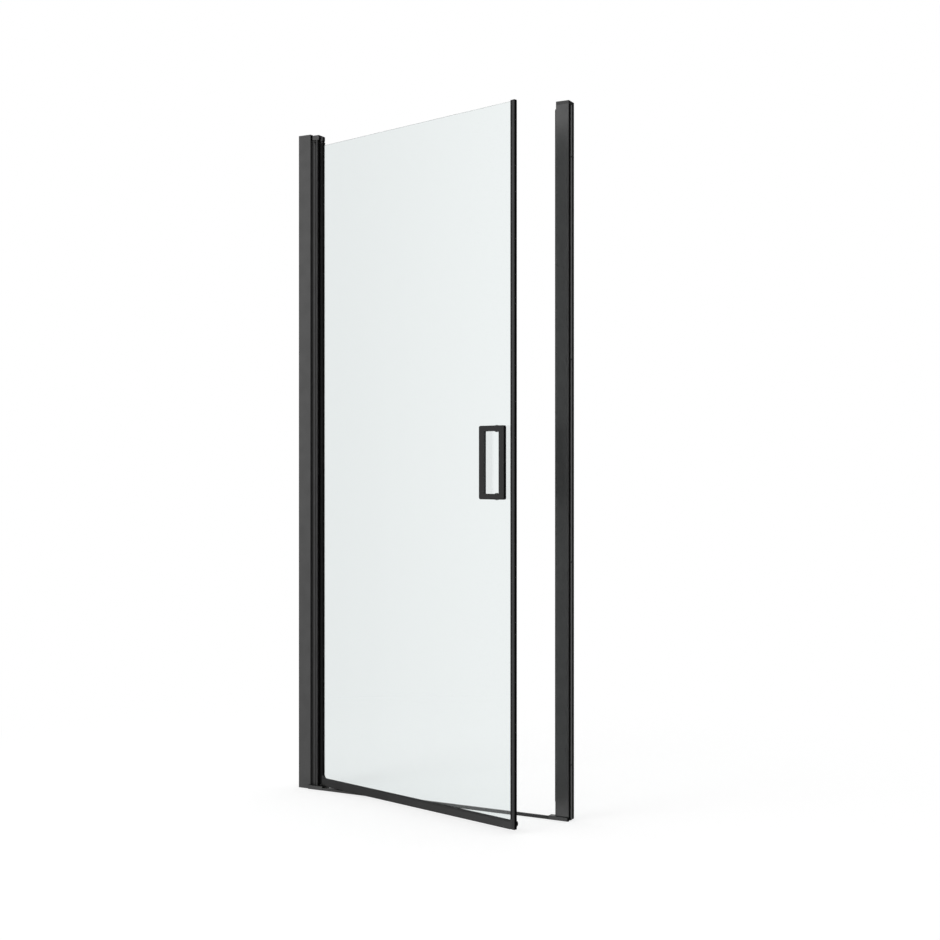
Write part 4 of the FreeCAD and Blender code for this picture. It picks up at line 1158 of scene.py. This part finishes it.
# ---------------------------------------------------------------- studio and camera
@dataclass
class Studio:
    """A white floor, a lamp at the front left, and a tent that only reflections see."""

    floor_reach: float = 14.0
    floor_drop: float = 0.6 * MM
    floor_level: float = 0.8
    floor_glow: float = 0.66
    floor_shade: float = 0.44
    floor_fade: tuple[float, float] = (0.9, 1.9)
    world_light: float = 0.72
    tent_radius: float = 6.0
    tent_low: float = -16.0
    tent_high: float = 18.0
    tent_sides: int = 96
    softbox_level: float = 2.15
    softbox_rise: tuple[float, float] = (-70.0, -38.0)
    softbox_fall: tuple[float, float] = (-36.0, 14.0)
    fill_level: float = 0.8
    fill_fall: tuple[float, float] = (-125.0, -85.0)
    fill_rise: tuple[float, float] = (170.0, 180.0)
    dark_level: float = 0.03
    tilt_levels: tuple[float, float] = (0.70, 1.05)
    tilt_heights: tuple[float, float] = (-2.6, 2.2)
    low_fade: tuple[float, float] = (-12.0, -4.0)
    high_fade: tuple[float, float] = (6.0, 14.0)
    lamp_width: float = 2.4
    lamp_height: float = 3.0
    lamp_power: float = 70.0
    lamp_place: tuple[float, float, float] = (-2.1, -4.0, 2.6)
    lamp_aim: tuple[float, float, float] = (0.0, 0.0, 1.0)

    def build(self) -> None:
        """Set up the studio."""
        self.make_world()
        self.make_floor()
        self.make_tent()
        self.make_lamp()
        LOG.info("studio is set up")

    def make_world(self) -> None:
        """A world that is plain white to look at, and a soft even light otherwise."""
        world = bpy.data.worlds.new("white_room")
        bpy.context.scene.world = world
        graph = NodeGraph(world, "ShaderNodeOutputWorld")
        shades = []
        for strength in (self.world_light, 1.0):
            background = graph.add("ShaderNodeBackground")
            background.inputs["Color"].default_value = (1, 1, 1, 1)
            background.inputs["Strength"].default_value = strength
            shades.append(background.outputs[0])
        seen = graph.is_any("Is Camera Ray", "Is Transmission Ray", "Is Glossy Ray")
        graph.show(graph.mix_shaders(seen, *shades))

    def make_floor(self) -> None:
        """A white floor that keeps the object's shadow."""
        work = bmesh.new()
        bmesh.ops.create_grid(work, x_segments=1, y_segments=1, size=self.floor_reach)
        bmesh.ops.translate(work, vec=(0, 0, -self.floor_drop), verts=work.verts)
        floor = make_object("studio_floor", work, self.floor_material())
        floor.visible_glossy = False

    def floor_material(self) -> Material:
        """The floor's white, shaded near the object and plain further out.

        Returns:
            The material.
        """
        sheet = NodeSheet("white_floor")
        shaded = sheet.add("ShaderNodeAddShader")
        sheet.join(sheet.glow(self.floor_glow), shaded.inputs[0])
        sheet.join(sheet.diffuse(self.floor_shade), shaded.inputs[1])
        distance = sheet.add("ShaderNodeVectorMath", operation="LENGTH")
        sheet.join(sheet.place, distance.inputs[0])
        far = sheet.spread(distance.outputs["Value"], 0.0, 1.0, self.floor_fade)
        faded = sheet.mix_shaders(far, shaded.outputs[0], sheet.glow(1.0))
        seen = sheet.is_any("Is Camera Ray", "Is Transmission Ray")
        sheet.show(sheet.mix_shaders(seen, sheet.diffuse(self.floor_level), faded))
        return sheet.material

    def make_tent(self) -> None:
        """A closed round tent that only reflections see."""
        work = bmesh.new()
        bmesh.ops.create_cone(
            work, cap_ends=True, segments=self.tent_sides, radius1=self.tent_radius,
            radius2=self.tent_radius, depth=self.tent_high - self.tent_low)
        middle = (self.tent_high + self.tent_low) / 2
        bmesh.ops.translate(work, vec=(0, 0, middle), verts=work.verts)
        tent = make_object("studio_tent", work, self.tent_material())
        tent.visible_camera = False
        tent.visible_diffuse = False
        tent.visible_transmission = False
        tent.visible_shadow = False

    def tent_material(self) -> Material:
        """The tent's glow: dark, with a bright field in front and a fainter one behind.

        Returns:
            The material.
        """
        sheet = NodeSheet("tent_glow")
        across, inwards, up = sheet.axes()
        outwards = sheet.calculate("MULTIPLY", inwards, -1.0)
        azimuth = sheet.calculate("ARCTAN2", across, outwards)

        def ramp(start: float, end: float, degrees: tuple[float, float]) -> Socket:
            """A level that goes from one value to another between two directions."""
            first, last = (math.radians(angle) for angle in degrees)
            return sheet.spread(azimuth, start, end, (first, last))

        softbox = sheet.calculate(
            "MULTIPLY", ramp(0.0, self.softbox_level, self.softbox_rise),
            ramp(1.0, 0.0, self.softbox_fall))
        fill = sheet.calculate(
            "ADD", ramp(self.fill_level, 0.0, self.fill_fall),
            ramp(0.0, self.fill_level, self.fill_rise))
        fields = sheet.calculate("ADD", softbox, fill)
        tilt = sheet.spread(up, *self.tilt_levels, self.tilt_heights)
        ends = sheet.calculate(
            "MULTIPLY", sheet.spread(up, 0.0, 1.0, self.low_fade),
            sheet.spread(up, 1.0, 0.0, self.high_fade))
        shaped = sheet.calculate("MULTIPLY", fields, sheet.calculate("MULTIPLY", tilt, ends))
        sheet.show(sheet.glow(sheet.calculate("ADD", shaped, self.dark_level)))
        return sheet.material

    def make_lamp(self) -> None:
        """One large soft lamp at the front left, which only gives shade and shape."""
        data = bpy.data.lights.new("front_left_lamp", "AREA")
        data.shape = "RECTANGLE"
        data.size = self.lamp_width
        data.size_y = self.lamp_height
        data.energy = self.lamp_power
        lamp = bpy.data.objects.new("front_left_lamp", data)
        lamp.location = self.lamp_place
        gaze = Vector(self.lamp_aim) - Vector(self.lamp_place)
        lamp.rotation_euler = gaze.to_track_quat("-Z", "Y").to_euler()
        lamp.visible_glossy = False
        lamp.visible_transmission = False
        bpy.context.scene.collection.objects.link(lamp)


@dataclass
class ViewCamera:
    """The camera that took the photograph."""

    place: tuple[float, float, float] = (1.9405, -3.4538, 0.9478)
    heading: float = 27.55
    lens: float = 53.23
    sensor: float = 36.0
    shift_up: float = 0.0008
    sight: float = 60.0

    def build(self) -> None:
        """Set the camera up and make it the scene's."""
        data = bpy.data.cameras.new("view_camera")
        data.sensor_width = self.sensor
        data.lens = self.lens
        data.shift_y = self.shift_up
        data.clip_end = self.sight
        camera = bpy.data.objects.new("view_camera", data)
        camera.location = self.place
        camera.rotation_euler = (math.pi / 2, 0, math.radians(self.heading))
        bpy.context.scene.collection.objects.link(camera)
        bpy.context.scene.camera = camera
        bpy.context.scene.view_settings.view_transform = "Standard"
        LOG.info("camera stands at %s", self.place)


def main() -> None:
    """Build the door's looks, assembly by assembly."""
    logging.basicConfig(level=logging.INFO, format="%(name)s: %(message)s")
    ViewCamera().build()
    Studio().build()
    finishes = Finishes()
    WallFrame(finishes).build()
    PivotHardware(finishes).build()
    Threshold(finishes).build()
    LeafFrame(finishes).build()
    Glazing(finishes).build()
    LeafSeals(finishes).build()
    Handle(finishes).build()


if __name__ == "__main__":
    main()
